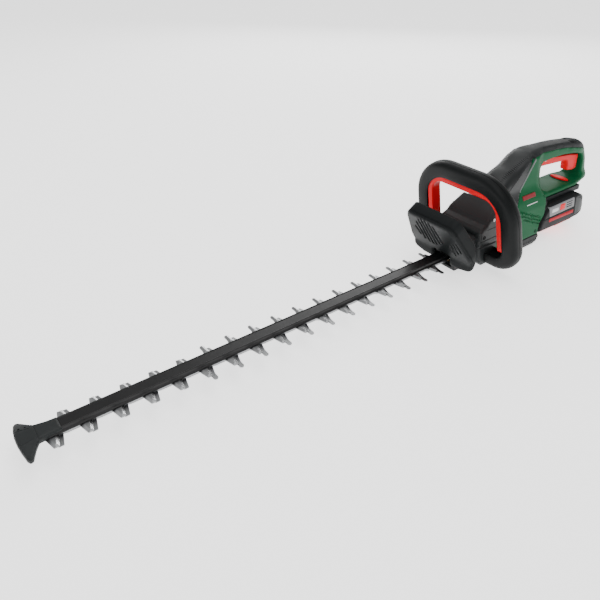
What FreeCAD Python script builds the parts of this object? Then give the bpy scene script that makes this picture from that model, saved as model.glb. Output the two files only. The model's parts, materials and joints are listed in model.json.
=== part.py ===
# Cordless hedge trimmer: double-sided blade bar, gear case, hoop handle, rear D-handle and battery.
# Frame: +X towards the blade tip, +Y to the operator's left, +Z up, origin at the middle of the
# trimmer's footprint, at the height of the skid under the motor. Millimetres.
import FreeCAD, Part
import math
import os
import types
import Sketcher

SIZES = [
    # blades and guide bar
    ("tooth_pitch", 38.0, "tooth to tooth along one side"),
    ("tooth_root", 15.0, "width of a tooth where it meets the spine"),
    ("tooth_tip", 6.0, "width of a short tooth at its end"),
    ("finger_width", 6.6, "width of a long finger"),
    ("finger_neck_y", 22.0, "distance out where a long finger stops tapering"),
    ("short_reach", 26.5, "distance out to the end of a short tooth"),
    ("finger_reach", 34.0, "distance out to the end of a long finger"),
    ("short_count", 5.0, "short saw teeth at the tip end"),
    ("finger_count", 12.0, "long fingers behind them"),
    ("first_tooth_x", 510.8, "middle of the first tooth, both blades level"),
    ("blade_shift", 2.5, "how far each blade stands off its middle at rest"),
    ("spine_half", 9.2, "half width of a blade's spine"),
    ("blade_nose_x", 522.0, "front end of a blade's spine"),
    ("blade_top_z", 27.1, "top of the upper blade"),
    ("blade_thickness", 3.0, "thickness of one blade"),
    ("blade_gap", 0.2, "oil gap between the blades"),
    ("throw", 5.0, "crank throw, half of one blade's stroke"),
    ("bar_bottom_z", 27.4, "underside of the guide bar"),
    ("bar_top_z", 33.3, "top of the guide bar"),
    ("bar_top_half", 9.0, "half width of the guide bar's top"),
    ("bar_bottom_half", 12.0, "half width of the guide bar's foot"),
    ("bar_front_x", 540.0, "front end of the guide bar"),
    ("bar_rear_x", -144.0, "rear end of the guide bar"),
    ("bolt_radius", 3.0, "shank of a blade bolt"),
    ("bolt_first_x", 473.0, "first blade bolt"),
    ("bolt_spacing", 114.0, "blade bolt to blade bolt"),
    ("bolt_count", 6.0, "blade bolts"),
    ("guard_front_x", 548.6, "front of the tip guard"),
    ("guard_half", 32.6, "half width of the tip guard"),
    # crank and gears
    ("crank_x", -153.0, "axis of the crank"),
    ("crank_radius", 3.0, "crank shaft radius"),
    ("eccentric_radius", 8.0, "radius of an eccentric"),
    ("gear_module", 1.0, "module of every gear"),
    ("drive_teeth", 36.0, "teeth of the drive gear"),
    ("idler_pinion_teeth", 18.0, "teeth of the idler pinion"),
    ("idler_teeth", 60.0, "teeth of the idler gear"),
    ("transfer_teeth", 29.0, "teeth of the transfer gear"),
    ("motor_teeth", 18.0, "teeth of the motor pinion"),
    ("backlash", 0.35, "play between gear teeth"),
    ("slow_gear_z", 48.5, "underside of the slow gear pair"),
    ("slow_gear_width", 8.0, "face width of the slow pair"),
    ("fast_gear_z", 58.5, "underside of the fast gear pair"),
    ("fast_gear_width", 6.0, "face width of the fast pair"),
    ("idler_pin_radius", 3.0, "idler pin radius"),
    ("running", 0.05, "radial clearance of a running fit"),
    ("case_floor_z", 45.0, "underside of the gear floor"),
    ("case_top_z", 47.5, "top of the gear floor"),
    ("case_half", 26.0, "half width of the gear case"),
    ("case_rear_x", -183.0, "rear wall of the blade chamber"),
    ("case_front_x", -136.0, "front of the blade chamber"),
    ("cover_front_x", -129.0, "front of the gear cover"),
    ("housing_half", 44.0, "half width of the gear housing"),
    ("chamber_bottom_z", 15.0, "underside of the gear case"),
    ("plate_bottom_z", 11.0, "underside of the bottom plate"),
    ("wall", 3.0, "plastic wall"),
    # motor
    ("motor_radius", 22.0, "motor can radius"),
    ("motor_bottom_z", 13.0, "underside of the motor can"),
    ("motor_top_z", 54.0, "top of the motor can"),
    ("rotor_radius", 11.0, "rotor radius"),
    ("motor_shaft_radius", 2.5, "motor shaft radius"),
    # hoop handle and bail
    ("hoop_half", 108.0, "outer half width of the hoop"),
    ("hoop_height", 169.0, "height of the hoop along its own plane"),
    ("hoop_band", 27.0, "width of the hoop's band"),
    ("hoop_foot", 24.0, "width of the hoop's band at the bottom"),
    ("hoop_depth", 14.0, "half depth of the hoop"),
    ("hoop_lean", 11.1, "lean of the hoop towards the tip, degrees"),
    ("hoop_base_x", -202.4, "middle of the hoop at its foot"),
    ("hoop_base_z", 16.0, "height of the hoop's foot"),
    ("hoop_top_corner", 62.0, "outer corner radius at the top"),
    ("hoop_low_corner", 46.0, "outer corner radius at the foot"),
    ("hoop_round", 9.0, "rounding of the hoop's outer edges"),
    ("bail_depth", 11.0, "half depth of the bail"),
    ("bail_band", 6.0, "thickness of the bail"),
    ("bail_travel", 3.0, "how far the bail is squeezed"),
    ("bail_foot", 40.0, "height of the bail's lower ends"),
    # shield
    ("shield_base_x", -137.5, "foot of the shield"),
    ("shield_base_z", 26.0, "height of the shield's foot"),
    ("shield_lean", 31.0, "lean of the shield towards the tip, degrees"),
    ("shield_height", 95.7, "height of the shield along its own plane"),
    ("shield_top_half", 44.0, "half width at the top"),
    ("shield_low_half", 60.0, "half width near the foot"),
    ("shield_depth", 24.0, "depth of the rim"),
    # body
    ("body_front_x", -217.2, "front of the body shells"),
    ("body_half", 42.0, "half width of the motor section"),
    ("deck_half", 30.0, "half width of the deck"),
    ("grip_half", 17.0, "half width of the rear grip"),
    ("skid_height", 8.0, "height of the base skid"),
    ("rear_x", -548.6, "rear end of the body"),
    ("dock_x", -362.0, "rear wall of the motor section"),
    ("deck_bottom_z", 80.0, "underside of the deck"),
    ("deck_top_z", 88.0, "top of the deck"),
    ("cover_half", 38.0, "half width of the top cover"),
    # battery
    ("battery_front_x", -366.0, "front of the battery"),
    ("battery_rear_x", -486.0, "rear of the battery case"),
    ("battery_half", 44.0, "half width of the battery"),
    ("battery_bottom_z", 24.0, "underside of the battery"),
    ("battery_top_z", 70.0, "top of the battery case, below its rail"),
    ("cell_radius", 9.2, "radius of a cell"),
]


class Dim:
    """A length that carries both its number and the expression that gives it."""

    def __init__(self, text, number):
        self.text = text
        self.number = float(number)

    def _join(self, other, sign, swap=False):
        other = as_dim(other)
        first, second = (other, self) if swap else (self, other)
        a, b = first.number, second.number
        results = {"+": a + b, "-": a - b, "*": a * b}
        number = results[sign] if sign in results else a / b
        return Dim("(%s %s %s)" % (first.text, sign, second.text), number)

    def __add__(self, other):
        return self._join(other, "+")

    def __radd__(self, other):
        return self._join(other, "+", swap=True)

    def __sub__(self, other):
        return self._join(other, "-")

    def __rsub__(self, other):
        return self._join(other, "-", swap=True)

    def __mul__(self, other):
        return self._join(other, "*")

    def __rmul__(self, other):
        return self._join(other, "*", swap=True)

    def __truediv__(self, other):
        return self._join(other, "/")

    def __rtruediv__(self, other):
        return self._join(other, "/", swap=True)

    def __neg__(self):
        return self * -1


def as_dim(value):
    if isinstance(value, Dim):
        return value
    return Dim("(%.4f)" % value, value)


doc = FreeCAD.newDocument("HedgeTrimmer")
parts = {}


def make_sheet():
    sheet = doc.addObject("Spreadsheet::Sheet", "Sizes")
    named = types.SimpleNamespace()
    for row, (alias, number, note) in enumerate(SIZES, start=1):
        sheet.set("A%d" % row, alias)
        sheet.set("B%d" % row, str(number))
        sheet.set("C%d" % row, note)
        sheet.setAlias("B%d" % row, alias)
        setattr(named, alias, Dim("Sizes." + alias, number))
    doc.recompute()
    return named


def bind(thing, prop, value):
    thing.setExpression(prop, as_dim(value).text)


def place(thing, x=0, y=0, z=0, axis=None, angle=None):
    """Puts a thing at a point, optionally turned about an axis, with each value bound."""
    here = FreeCAD.Vector(as_dim(x).number, as_dim(y).number, as_dim(z).number)
    turn = FreeCAD.Rotation()
    if axis is not None:
        turn = FreeCAD.Rotation(FreeCAD.Vector(*axis), as_dim(angle).number)
    thing.Placement = FreeCAD.Placement(here, turn)
    for letter, value in (("x", x), ("y", y), ("z", z)):
        bind(thing, "Placement.Base." + letter, value)
    if isinstance(angle, Dim):
        bind(thing, "Placement.Rotation.Angle", angle)
    return thing


def keep(label, thing):
    """Names a finished sub-part."""
    thing.Label = label
    parts[label] = thing
    return thing


# ---------------------------------------------------------------- Part primitives

def box(name, xs, ys, zs):
    thing = doc.addObject("Part::Box", name)
    for prop, (low, high) in (("Length", xs), ("Width", ys), ("Height", zs)):
        bind(thing, prop, as_dim(high) - low)
    return place(thing, xs[0], ys[0], zs[0])


def rod(name, radius, ends, across, along="z"):
    """A cylinder along one axis, from ends[0] to ends[1], at the two other coordinates."""
    thing = doc.addObject("Part::Cylinder", name)
    bind(thing, "Radius", radius)
    bind(thing, "Height", as_dim(ends[1]) - ends[0])
    if along == "z":
        return place(thing, across[0], across[1], ends[0])
    if along == "x":
        return place(thing, ends[0], across[0], across[1], (0, 1, 0), 90)
    return place(thing, across[0], ends[0], across[1], (1, 0, 0), -90)


def join(name, things):
    if len(things) == 1:
        return things[0]
    thing = doc.addObject("Part::MultiFuse", name)
    thing.Shapes = things
    return thing


def group(name, things):
    """Separate solids that share one node."""
    thing = doc.addObject("Part::Compound", name)
    thing.Links = things
    return thing


def cut(name, base, tools):
    thing = doc.addObject("Part::Cut", name)
    thing.Base = base
    thing.Tool = join(name + "_tools", tools)
    return thing


def ring(name, outer, inner, ends, across, along="z"):
    return cut(name, rod(name + "_outer", outer, ends, across, along),
               [rod(name + "_bore", inner, ends, across, along)])


# ---------------------------------------------------------------- PartDesign features

def new_body(label):
    return doc.addObject("PartDesign::Body", label)


def new_sketch(body, plane, offset=0):
    sketch = body.newObject("Sketcher::SketchObject", body.Name + "_sketch")
    support = [f for f in body.Origin.OriginFeatures if f.Role == plane][0]
    sketch.AttachmentSupport = (support, [""])
    sketch.MapMode = "FlatFace"
    bind(sketch, "AttachmentOffset.Base.z", offset)
    return sketch


def pin_point(sketch, geo, end, x, y):
    for kind, value, axis in (("DistanceX", as_dim(x), -2), ("DistanceY", as_dim(y), -1)):
        if value.number == 0:
            sketch.addConstraint(Sketcher.Constraint("PointOnObject", geo, end, axis))
            continue
        number = sketch.addConstraint(Sketcher.Constraint(kind, -1, 1, geo, end, value.number))
        bind(sketch, "Constraints[%d]" % number, value)


def draw_loop(sketch, points):
    """A closed polygon whose every corner is bound to its two coordinates."""
    spots = [FreeCAD.Vector(as_dim(x).number, as_dim(y).number, 0) for x, y in points]
    first = sketch.GeometryCount
    count = len(points)
    for index in range(count):
        sketch.addGeometry(Part.LineSegment(spots[index], spots[(index + 1) % count]))
    for index in range(count):
        follower = first + (index + 1) % count
        sketch.addConstraint(Sketcher.Constraint("Coincident", first + index, 2, follower, 1))
    for index, (x, y) in enumerate(points):
        pin_point(sketch, first + index, 1, x, y)


def feature(body, kind, sketch, length, reverse=False):
    thing = body.newObject("PartDesign::" + kind, body.Name + "_" + kind)
    thing.Profile = sketch
    thing.Reversed = reverse
    bind(thing, "Length", length)
    return thing


def pad(body, plane, offset, loops, length, reverse=False):
    sketch = new_sketch(body, plane, offset)
    for points in loops:
        draw_loop(sketch, points)
    return feature(body, "Pad", sketch, length, reverse)


def pocket(body, plane, offset, loops, length, reverse=False):
    """A pocket that must remove material: its volume is compared."""
    doc.recompute()
    before = body.Shape.Volume
    sketch = new_sketch(body, plane, offset)
    for points in loops:
        draw_loop(sketch, points)
    thing = feature(body, "Pocket", sketch, length, reverse)
    doc.recompute()
    if body.Shape.Volume > before - 0.5:
        raise RuntimeError("a pocket in %s cuts nothing" % body.Label)
    return thing


def repeat(body, source, sketch, length, count):
    """Repeats a feature along the sketch's horizontal axis."""
    pattern = body.newObject("PartDesign::LinearPattern", body.Name + "_pattern")
    pattern.Originals = [source]
    pattern.Direction = (sketch, ["H_Axis"])
    pattern.Reversed = True
    bind(pattern, "Length", length)
    bind(pattern, "Occurrences", count)
    body.Tip = pattern
    return pattern


def round_edges(body, radius, chosen):
    """Fillets the edges of the body's tip that the test picks."""
    doc.recompute()
    base = body.Tip
    names = ["Edge%d" % (n + 1) for n, edge in enumerate(base.Shape.Edges) if chosen(edge)]
    if not names:
        raise RuntimeError("no edge to round in %s" % body.Label)
    thing = body.newObject("PartDesign::Fillet", body.Name + "_fillet")
    thing.Base = (base, names)
    bind(thing, "Radius", radius)
    return thing


def quarter(x, y, radius, steps=8):
    """Points of a quarter circle about (x, y), from +X round to +Y."""
    turns = [math.pi / 2 * step / steps for step in range(steps + 1)]
    return [(x + radius * math.cos(turn), y + radius * math.sin(turn)) for turn in turns]


def along_axis(edge, axis):
    """True for a straight edge parallel to X (0), Y (1) or Z (2)."""
    if edge.Curve.TypeId != "Part::GeomLine":
        return False
    span = edge.Vertexes[-1].Point - edge.Vertexes[0].Point
    return abs(abs(span[axis]) - span.Length) < 1e-6


def prism(label, plane, offset, points, length, reverse=False):
    body = new_body(label)
    pad(body, plane, offset, [points], length, reverse)
    return body


XY, XZ, YZ = "XY_Plane", "XZ_Plane", "YZ_Plane"
D = make_sheet()

IDLER_X = D.crank_x - D.gear_module * (D.drive_teeth + D.idler_pinion_teeth) / 2
TRANSFER_X = IDLER_X - D.gear_module * (D.idler_teeth + D.transfer_teeth) / 2
MOTOR_X = TRANSFER_X - D.gear_module * (D.transfer_teeth + D.motor_teeth) / 2


def rectangle(low_x, high_x, low_y, high_y):
    return [(low_x, low_y), (high_x, low_y), (high_x, high_y), (low_x, high_y)]


# ---------------------------------------------------------------- blades

def tooth_loop(middle, side, long):
    """One tooth in plan. side is 1 for the operator's left, -1 for the right."""
    half_root = D.tooth_root / 2
    root = D.spine_half - 0.5
    if not long:
        half_tip = D.tooth_tip / 2
        return [(middle - half_root, root * side), (middle - half_tip, D.short_reach * side),
                (middle + half_tip, D.short_reach * side), (middle + half_root, root * side)]
    half = D.finger_width / 2
    end = D.finger_reach - 2
    nose = half - 2
    return [(middle - half_root, root * side), (middle - half, D.finger_neck_y * side),
            (middle - half, end * side), (middle - nose, D.finger_reach * side),
            (middle + nose, D.finger_reach * side), (middle + half, end * side),
            (middle + half, D.finger_neck_y * side), (middle + half_root, root * side)]


def tooth_row(body, bottom, first, side, long, count):
    tooth = pad(body, XY, bottom, [tooth_loop(first, side, long)], D.blade_thickness)
    repeat(body, tooth, tooth.Profile[0], D.tooth_pitch * (count - 1), count)


def blade(label, bottom, shift, finger_side):
    """One blade: long fingers on finger_side, short teeth on the other and at the tip end."""
    body = new_body(label)
    yoke_half_x = D.eccentric_radius + D.throw * 2 + 4
    yoke_half_y = D.eccentric_radius + D.throw + 4.5
    middle = D.crank_x + shift
    spine = rectangle(middle - yoke_half_x + 4, D.blade_nose_x + shift, -D.spine_half, D.spine_half)
    pad(body, XY, bottom, [spine], D.blade_thickness)
    yoke = rectangle(middle - yoke_half_x, middle + yoke_half_x, -yoke_half_y, yoke_half_y)
    pad(body, XY, bottom, [yoke], D.blade_thickness)
    for side in (1, -1):
        stagger = 0 if side > 0 else D.tooth_pitch / 2
        first = D.first_tooth_x + shift - stagger
        tooth_row(body, bottom, first, side, False, D.short_count)
        later = first - D.tooth_pitch * D.short_count
        tooth_row(body, bottom, later, side, side == finger_side, D.finger_count)
    slot_x = D.eccentric_radius + D.throw * 2 + 0.5
    slot_y = D.eccentric_radius + D.throw + 0.5
    window = rectangle(middle - slot_x, middle + slot_x, -slot_y, slot_y)
    pocket(body, XY, bottom, [window], D.blade_thickness, reverse=True)
    half_slot = D.bolt_radius + D.throw + 1
    at = D.bolt_first_x + shift
    slot = rectangle(at - half_slot, at + half_slot, -D.bolt_radius - 0.3, D.bolt_radius + 0.3)
    first_slot = pocket(body, XY, bottom, [slot], D.blade_thickness, reverse=True)
    repeat(body, first_slot, first_slot.Profile[0],
           D.bolt_spacing * (D.bolt_count - 1), D.bolt_count)
    return keep(label, body)


def guide_bar():
    body = new_body("guide_bar")
    section = [(-D.bar_bottom_half, D.bar_bottom_z), (D.bar_bottom_half, D.bar_bottom_z),
               (D.bar_bottom_half, D.bar_bottom_z + 1.2), (D.bar_top_half, D.bar_top_z),
               (-D.bar_top_half, D.bar_top_z), (-D.bar_bottom_half, D.bar_bottom_z + 1.2)]
    pad(body, YZ, D.bar_rear_x, [section], D.bar_front_x - D.bar_rear_x)
    holes = [rod("bar_bolt_hole_%d" % n, D.bolt_radius + 0.02, (D.bar_bottom_z - 1, bolt_top()),
                 (bolt_x(n), 0)) for n in range(int(D.bolt_count.number))]
    holes += [rod("bar_screw_hole_%d" % side, 2.52, (D.bar_bottom_z - 1, D.bar_top_z + 1),
                  (D.bar_rear_x + 5, side * 6)) for side in (-1, 1)]
    holes.append(rod("bar_tip_hole", 2.02, (D.bar_bottom_z - 1, D.bar_top_z - 1), (535, 0)))
    keep("guide_bar", cut("guide_bar", body, holes))


def bolt_x(number):
    return D.bolt_first_x - D.bolt_spacing * number


def bolt_top():
    return D.bar_top_z - 0.8


def blade_bolts():
    under = D.blade_top_z - D.blade_thickness * 2 - D.blade_gap
    bolts, washers = [], []
    for n in range(int(D.bolt_count.number)):
        shank = rod("bolt_shank_%d" % n, D.bolt_radius, (under - 2, bolt_top()), (bolt_x(n), 0))
        head = rod("bolt_head_%d" % n, 5.5, (under - 5.6, under - 1.8), (bolt_x(n), 0))
        bolts.append(join("bolt_%d" % n, [shank, head]))
        washers.append(ring("washer_%d" % n, 8, D.bolt_radius + 0.02,
                            (under - 1.8, under - 0.25), (bolt_x(n), 0)))
    keep("blade_bolts", group("blade_bolts", bolts))
    keep("blade_washers", group("blade_washers", washers))


def tip_guard():
    bottom = 17.5
    top = 36.0
    body = new_body("tip_guard_fan")
    front = D.guard_front_x
    half = D.guard_half
    fan = [(526.8, -13.7), (532.7, -21.3), (538.7, -(half - 0.9)), (542, -half), (544.6, 3 - half),
           (547.2, -18), (front - 0.3, -9), (front, 0), (front - 0.3, 9), (547.2, 18),
           (544.6, half - 3), (542, half), (538.7, half - 0.9), (532.7, 21.3), (526.8, 13.7)]
    pad(body, XY, bottom, [fan], top - bottom)
    sleeve = rectangle(501, 528, -15, 15)
    pad(body, XY, D.blade_top_z + 0.5, [sleeve], top - (D.blade_top_z + 0.5))
    round_edges(body, 2.5, lambda e: abs(e.BoundBox.ZMin - top) < 0.01
                and abs(e.BoundBox.ZMax - top) < 0.01 and not along_axis(e, 1))
    channel = [(-D.bar_bottom_half - 0.1, D.bar_bottom_z - 0.6),
               (D.bar_bottom_half + 0.1, D.bar_bottom_z - 0.6),
               (D.bar_bottom_half + 0.1, D.bar_bottom_z + 1.25),
               (D.bar_top_half + 0.1, D.bar_top_z + 0.05),
               (-D.bar_top_half - 0.1, D.bar_top_z + 0.05),
               (-D.bar_bottom_half - 0.1, D.bar_bottom_z + 1.25)]
    pocket(body, YZ, 490, [channel], D.bar_front_x + 0.1 - 490, reverse=True)
    space = box("guard_blade_space", (490, 532), (-11.5, 11.5), (20.4, D.bar_bottom_z))
    screw_hole = rod("guard_screw_hole", 2.05, (bottom - 1, D.bar_bottom_z), (535, 0))
    head_hole = rod("guard_head_hole", 4.1, (bottom - 1, bottom + 3), (535, 0))
    keep("tip_guard", cut("tip_guard", body, [space, screw_hole, head_hole]))
    shank = rod("guard_screw_shank", 2, (bottom, D.bar_top_z - 1.5), (535, 0))
    head = rod("guard_screw_head", 4, (bottom + 0.2, bottom + 3), (535, 0))
    keep("tip_guard_screw", join("tip_guard_screw", [shank, head]))


# ---------------------------------------------------------------- shield

def shield():
    body = new_body("shield_shell")
    top, low, tall = D.shield_top_half, D.shield_low_half, D.shield_height
    right_half = [(28, 12), (28, 0), (44, -2), (55, 3), (low, 14), (low - 2, 34),
                  (top + 4, tall - 12), (top - 4, tall)]
    outline = right_half + [(-x, y) for x, y in reversed(right_half)]
    pad(body, XY, -D.shield_depth, [outline], D.shield_depth)
    skin = D.wall
    inner_half = [(52, -20), (low - skin, 15),
                  (low - 2 - skin, 33), (top + 4 - skin, tall - 12), (top - 5, tall - skin)]
    hollow = inner_half + [(-x, y) for x, y in reversed(inner_half)]
    pocket(body, XY, -D.shield_depth, [hollow], D.shield_depth - skin, reverse=True)
    rows = [(-36, 52, 7, 7.6, 34), (26, 40, 3, 8.0, 22)]
    for cross, down, count, step, run in rows:
        for n in range(count):
            left, foot = cross + n * step, down - n * 3.5
            slot = [(left, foot + run), (left + 3, foot + run), (left + 3 + run * 0.42, foot),
                    (left + run * 0.42, foot)]
            pocket(body, XY, 0, [slot], D.wall + 1)
    place(body, D.shield_base_x, 0, D.shield_base_z, (0, 1, 0), 1)
    stand = FreeCAD.Rotation(FreeCAD.Vector(0, 1, 0), D.shield_lean.number)
    flat = FreeCAD.Rotation(FreeCAD.Vector(0, 1, 0), FreeCAD.Vector(0, 0, 1),
                            FreeCAD.Vector(1, 0, 0), "ZXY")
    body.Placement = FreeCAD.Placement(body.Placement.Base, stand * flat)
    bosses, holes, screws = [], [], []
    for n, side in enumerate((-1, 1)):
        spot = (side * 26, 54)
        bosses.append(rod("shield_boss_%d" % n, 6, (D.cover_front_x, -120), spot, "x"))
        holes.append(rod("shield_hole_%d" % n, 2.05, (D.cover_front_x - 1, -100), spot, "x"))
        holes.append(rod("shield_sink_%d" % n, 4.2, (-122, -105), spot, "x"))
        shank = rod("shield_shank_%d" % n, 2, (-137, -120), spot, "x")
        head = rod("shield_head_%d" % n, 4, (-121.9, -118), spot, "x")
        screws.append(join("shield_screw_%d" % n, [shank, head]))
    solid = join("shield_with_bosses", [body] + bosses)
    keep("hand_shield", cut("hand_shield", solid, holes))
    keep("shield_screws", group("shield_screws", screws))


# ---------------------------------------------------------------- gear case

def gear_case():
    rear, front = D.case_rear_x, D.case_front_x
    block = box("case_block", (rear, front), (-D.case_half, D.case_half),
                (D.chamber_bottom_z, D.case_top_z))
    solids = [block, box("case_tray", (-225, D.cover_front_x - 3.2), (-33, 33),
                         (D.case_floor_z, D.case_top_z))]
    chamber_half = D.case_half - 7.2
    tools = [box("case_chamber", (rear + 2.2, front + 1), (-chamber_half, chamber_half),
                 (D.chamber_bottom_z - 1, D.bar_top_z))]
    tools.append(rod("case_bore", 6, (D.bar_top_z - 1, D.case_top_z + 1), (D.crank_x, 0)))
    tools.append(rod("case_pin_hole", D.idler_pin_radius, (D.case_floor_z, D.case_top_z + 1),
                     (IDLER_X, 0)))
    bar_screws = []
    for n, side in enumerate((-1, 1)):
        spot = (D.bar_rear_x + 5, side * 6)
        tools.append(rod("case_bar_hole_%d" % n, 2.52, (D.bar_top_z - 1, 50), spot))
        tools.append(rod("case_bar_sink_%d" % n, 4.3, (D.case_top_z - 3.5, 50), spot))
        solids.append(box("case_post_%d" % n, (-140, D.cover_front_x - 3.2),
                          (side * 26 - 5, side * 26 + 5), (D.case_floor_z, 60)))
        tools.append(rod("case_post_hole_%d" % n, 2.02, (-139, -120), (side * 26, 54), "x"))
        shank = rod("bar_screw_shank_%d" % n, 2.5, (D.bar_bottom_z + 0.2, D.case_top_z - 1), spot)
        head = rod("bar_screw_head_%d" % n, 4.2, (D.case_top_z - 3.4, D.case_top_z - 0.3), spot)
        bar_screws.append(join("bar_screw_%d" % n, [shank, head]))
    for n, (x, y) in enumerate(plate_corners()):
        tools.append(rod("case_plate_hole_%d" % n, 2.02, (D.chamber_bottom_z - 1, 29), (x, y)))
    for n, side in enumerate((-1, 1)):
        solids.append(rod("case_hoop_pillar_%d" % n, 6, (40.9, D.case_top_z), hoop_spot(side)))
        tools.append(rod("case_hoop_hole_%d" % n, 2.52, (38, 50), hoop_spot(side)))
    keep("gear_case", cut("gear_case", join("case_solid", solids), tools))
    keep("bar_screws", group("bar_screws", bar_screws))


def plate_corners():
    return [(x, y) for x in (D.case_rear_x + 5, D.case_front_x - 5) for y in (-22.4, 22.4)]


def hoop_spot(side):
    return (-199, side * 27)


def bottom_plate():
    plate = box("plate_solid", (D.case_rear_x, D.case_front_x), (-D.case_half, D.case_half),
                (D.plate_bottom_z, D.chamber_bottom_z))
    tools = [rod("plate_bore", 6, (D.plate_bottom_z + 1, D.chamber_bottom_z + 1), (D.crank_x, 0))]
    screws = []
    for n, (x, y) in enumerate(plate_corners()):
        tools.append(rod("plate_hole_%d" % n, 2.02, (D.plate_bottom_z - 1, 17), (x, y)))
        tools.append(rod("plate_sink_%d" % n, 2.9, (D.plate_bottom_z - 1, D.plate_bottom_z + 2), (x, y)))
        shank = rod("plate_shank_%d" % n, 2, (D.plate_bottom_z + 1, 28), (x, y))
        head = rod("plate_head_%d" % n, 2.85, (D.plate_bottom_z + 0.2, D.plate_bottom_z + 2), (x, y))
        screws.append(join("plate_screw_%d" % n, [shank, head]))
    keep("bottom_plate", cut("bottom_plate", plate, tools))
    keep("plate_screws", group("plate_screws", screws))


def housing_cover():
    """Stepped cover over the gears, open at the bottom and at the rear."""
    body = new_body("housing_shell")
    front = D.cover_front_x
    neck_top, step_x, step_z = 69, -170, 80
    rear = D.body_front_x
    neck = [(step_x - 4, D.case_top_z), (front, D.case_top_z), (front, neck_top - 6),
            (front - 8, neck_top), (step_x - 4, neck_top)]
    pad(body, XZ, -38, [neck], 76)
    main = [(rear, D.case_top_z), (step_x, D.case_top_z), (step_x, step_z - 3),
            (step_x - 4, step_z), (-185, 86), (rear, 112)]
    half = D.housing_half
    pad(body, XZ, -half, [main], half * 2)
    round_edges(body, 7, lambda e: e.BoundBox.XMax < step_x and e.BoundBox.ZMin > 79
                and abs(abs(e.BoundBox.YMin) - half.number) < 0.01
                and abs(e.BoundBox.YMin - e.BoundBox.YMax) < 0.01)
    skin = D.wall
    neck_in = [(step_x - 8, 40), (front - skin, 40), (front - skin, neck_top - 6.5),
               (front - 9, neck_top - 2.5), (step_x - 8, neck_top - 2.5)]
    pocket(body, XZ, -35, [neck_in], 70, reverse=True)
    main_in = [(rear - 6, 40), (step_x - skin, 40), (step_x - skin, step_z - 6), (-186, 82.5),
               (rear - 6, 112)]
    pocket(body, XZ, -half + skin, [main_in], (half - skin) * 2, reverse=True)
    holes = [rod("cover_screw_hole_%d" % side, 2.1, (-140, -120), (side * 26, 54), "x")
             for side in (-1, 1)]
    keep("housing_cover", cut("housing_cover", body, holes))


# ---------------------------------------------------------------- crank, gears and motor

def involute(base, angle):
    c, s = math.cos(angle), math.sin(angle)
    return base * (c + angle * s), base * (s - angle * c)


def gear_outline(module, teeth, backlash):
    """Corner points of an involute spur gear, one tooth centred on the +X axis."""
    pitch, pressure = module * teeth / 2, math.radians(20)
    base, tip, root = pitch * math.cos(pressure), pitch + 0.95 * module, pitch - 1.25 * module
    roll = math.tan(pressure)
    half_tooth = math.pi / (2 * teeth) - backlash / 2 / (2 * pitch)
    lean = roll - pressure + half_tooth
    start = math.sqrt(max((max(root, base) / base) ** 2 - 1, 0))
    stop = math.sqrt((tip / base) ** 2 - 1)
    flank = []
    for step in range(5):
        angle = start + (stop - start) * step / 4
        x, y = involute(base, angle)
        flank.append((math.hypot(x, y), math.atan2(y, x) - lean))
    if root < base:
        flank.insert(0, (root, flank[0][1]))
    points = []
    for tooth in range(teeth):
        middle = 2 * math.pi * tooth / teeth
        for radius, angle in flank + [(r, -a) for r, a in reversed(flank)]:
            points.append((radius * math.cos(middle + angle), radius * math.sin(middle + angle)))
    return points


def gear(label, teeth, bore, bottom, width, x, phase):
    """A spur gear about Z. phase turns the tooth that starts on +X, in degrees."""
    outline = gear_outline(D.gear_module.number, int(teeth.number), D.backlash.number)
    corners = [FreeCAD.Vector(px, py, 0) for px, py in outline]
    face = Part.Face(Part.makePolygon(corners + corners[:1]))
    hole = Part.Face(Part.Wire(Part.makeCircle(bore.number)))
    solid = face.cut(hole).extrude(FreeCAD.Vector(0, 0, width.number))
    thing = doc.addObject("Part::Feature", label)
    thing.Shape = solid
    place(thing, x, 0, bottom, (0, 0, 1), phase)
    return keep(label, thing)


def crank():
    rise = (D.throw.number ** 2 - D.blade_shift.number ** 2) ** 0.5
    eccentrics = []
    levels = (("low", -1, D.blade_top_z - D.blade_thickness * 2 - D.blade_gap - 0.3, 3.3),
              ("high", 1, D.blade_top_z - D.blade_thickness, 3.2))
    for name, side, bottom, thick in levels:
        spot = (D.crank_x + D.blade_shift * side, -side * rise)
        eccentrics.append(rod("eccentric_" + name, D.eccentric_radius, (bottom, bottom + thick), spot))
    shaft = rod("crank_rod", D.crank_radius,
                (D.plate_bottom_z + 1.2, D.slow_gear_z + D.slow_gear_width + 0.3), (D.crank_x, 0))
    keep("crank_shaft", join("crank_shaft", [shaft] + eccentrics))
    hole = D.crank_radius + D.running
    keep("crank_bush_upper", ring("crank_bush_upper", 6, hole,
                                  (D.bar_top_z, D.case_top_z - 0.3), (D.crank_x, 0)))
    keep("crank_bush_lower", ring("crank_bush_lower", 6, hole,
                                  (D.plate_bottom_z + 1, D.chamber_bottom_z), (D.crank_x, 0)))


def gears():
    slow, fast = D.slow_gear_z, D.fast_gear_z
    bore = D.idler_pin_radius + D.running
    gear("drive_gear", D.drive_teeth, D.crank_radius, slow, D.slow_gear_width, D.crank_x, 180)
    gear("idler_pinion", D.idler_pinion_teeth, bore, slow, fast - slow, IDLER_X,
         180 / D.idler_pinion_teeth)
    gear("idler_gear", D.idler_teeth, bore, fast, D.fast_gear_width, IDLER_X, 180)
    gear("transfer_gear", D.transfer_teeth, bore, fast, D.fast_gear_width, TRANSFER_X, 180)
    gear("motor_pinion", D.motor_teeth, D.motor_shaft_radius, fast, D.fast_gear_width, MOTOR_X,
         180 / D.motor_teeth)
    keep("idler_pin", rod("idler_pin", D.idler_pin_radius, (D.case_floor_z, 66), (IDLER_X, 0)))
    keep("transfer_pin", rod("transfer_pin", D.idler_pin_radius, (55, 66), (TRANSFER_X, 0)))


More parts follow.
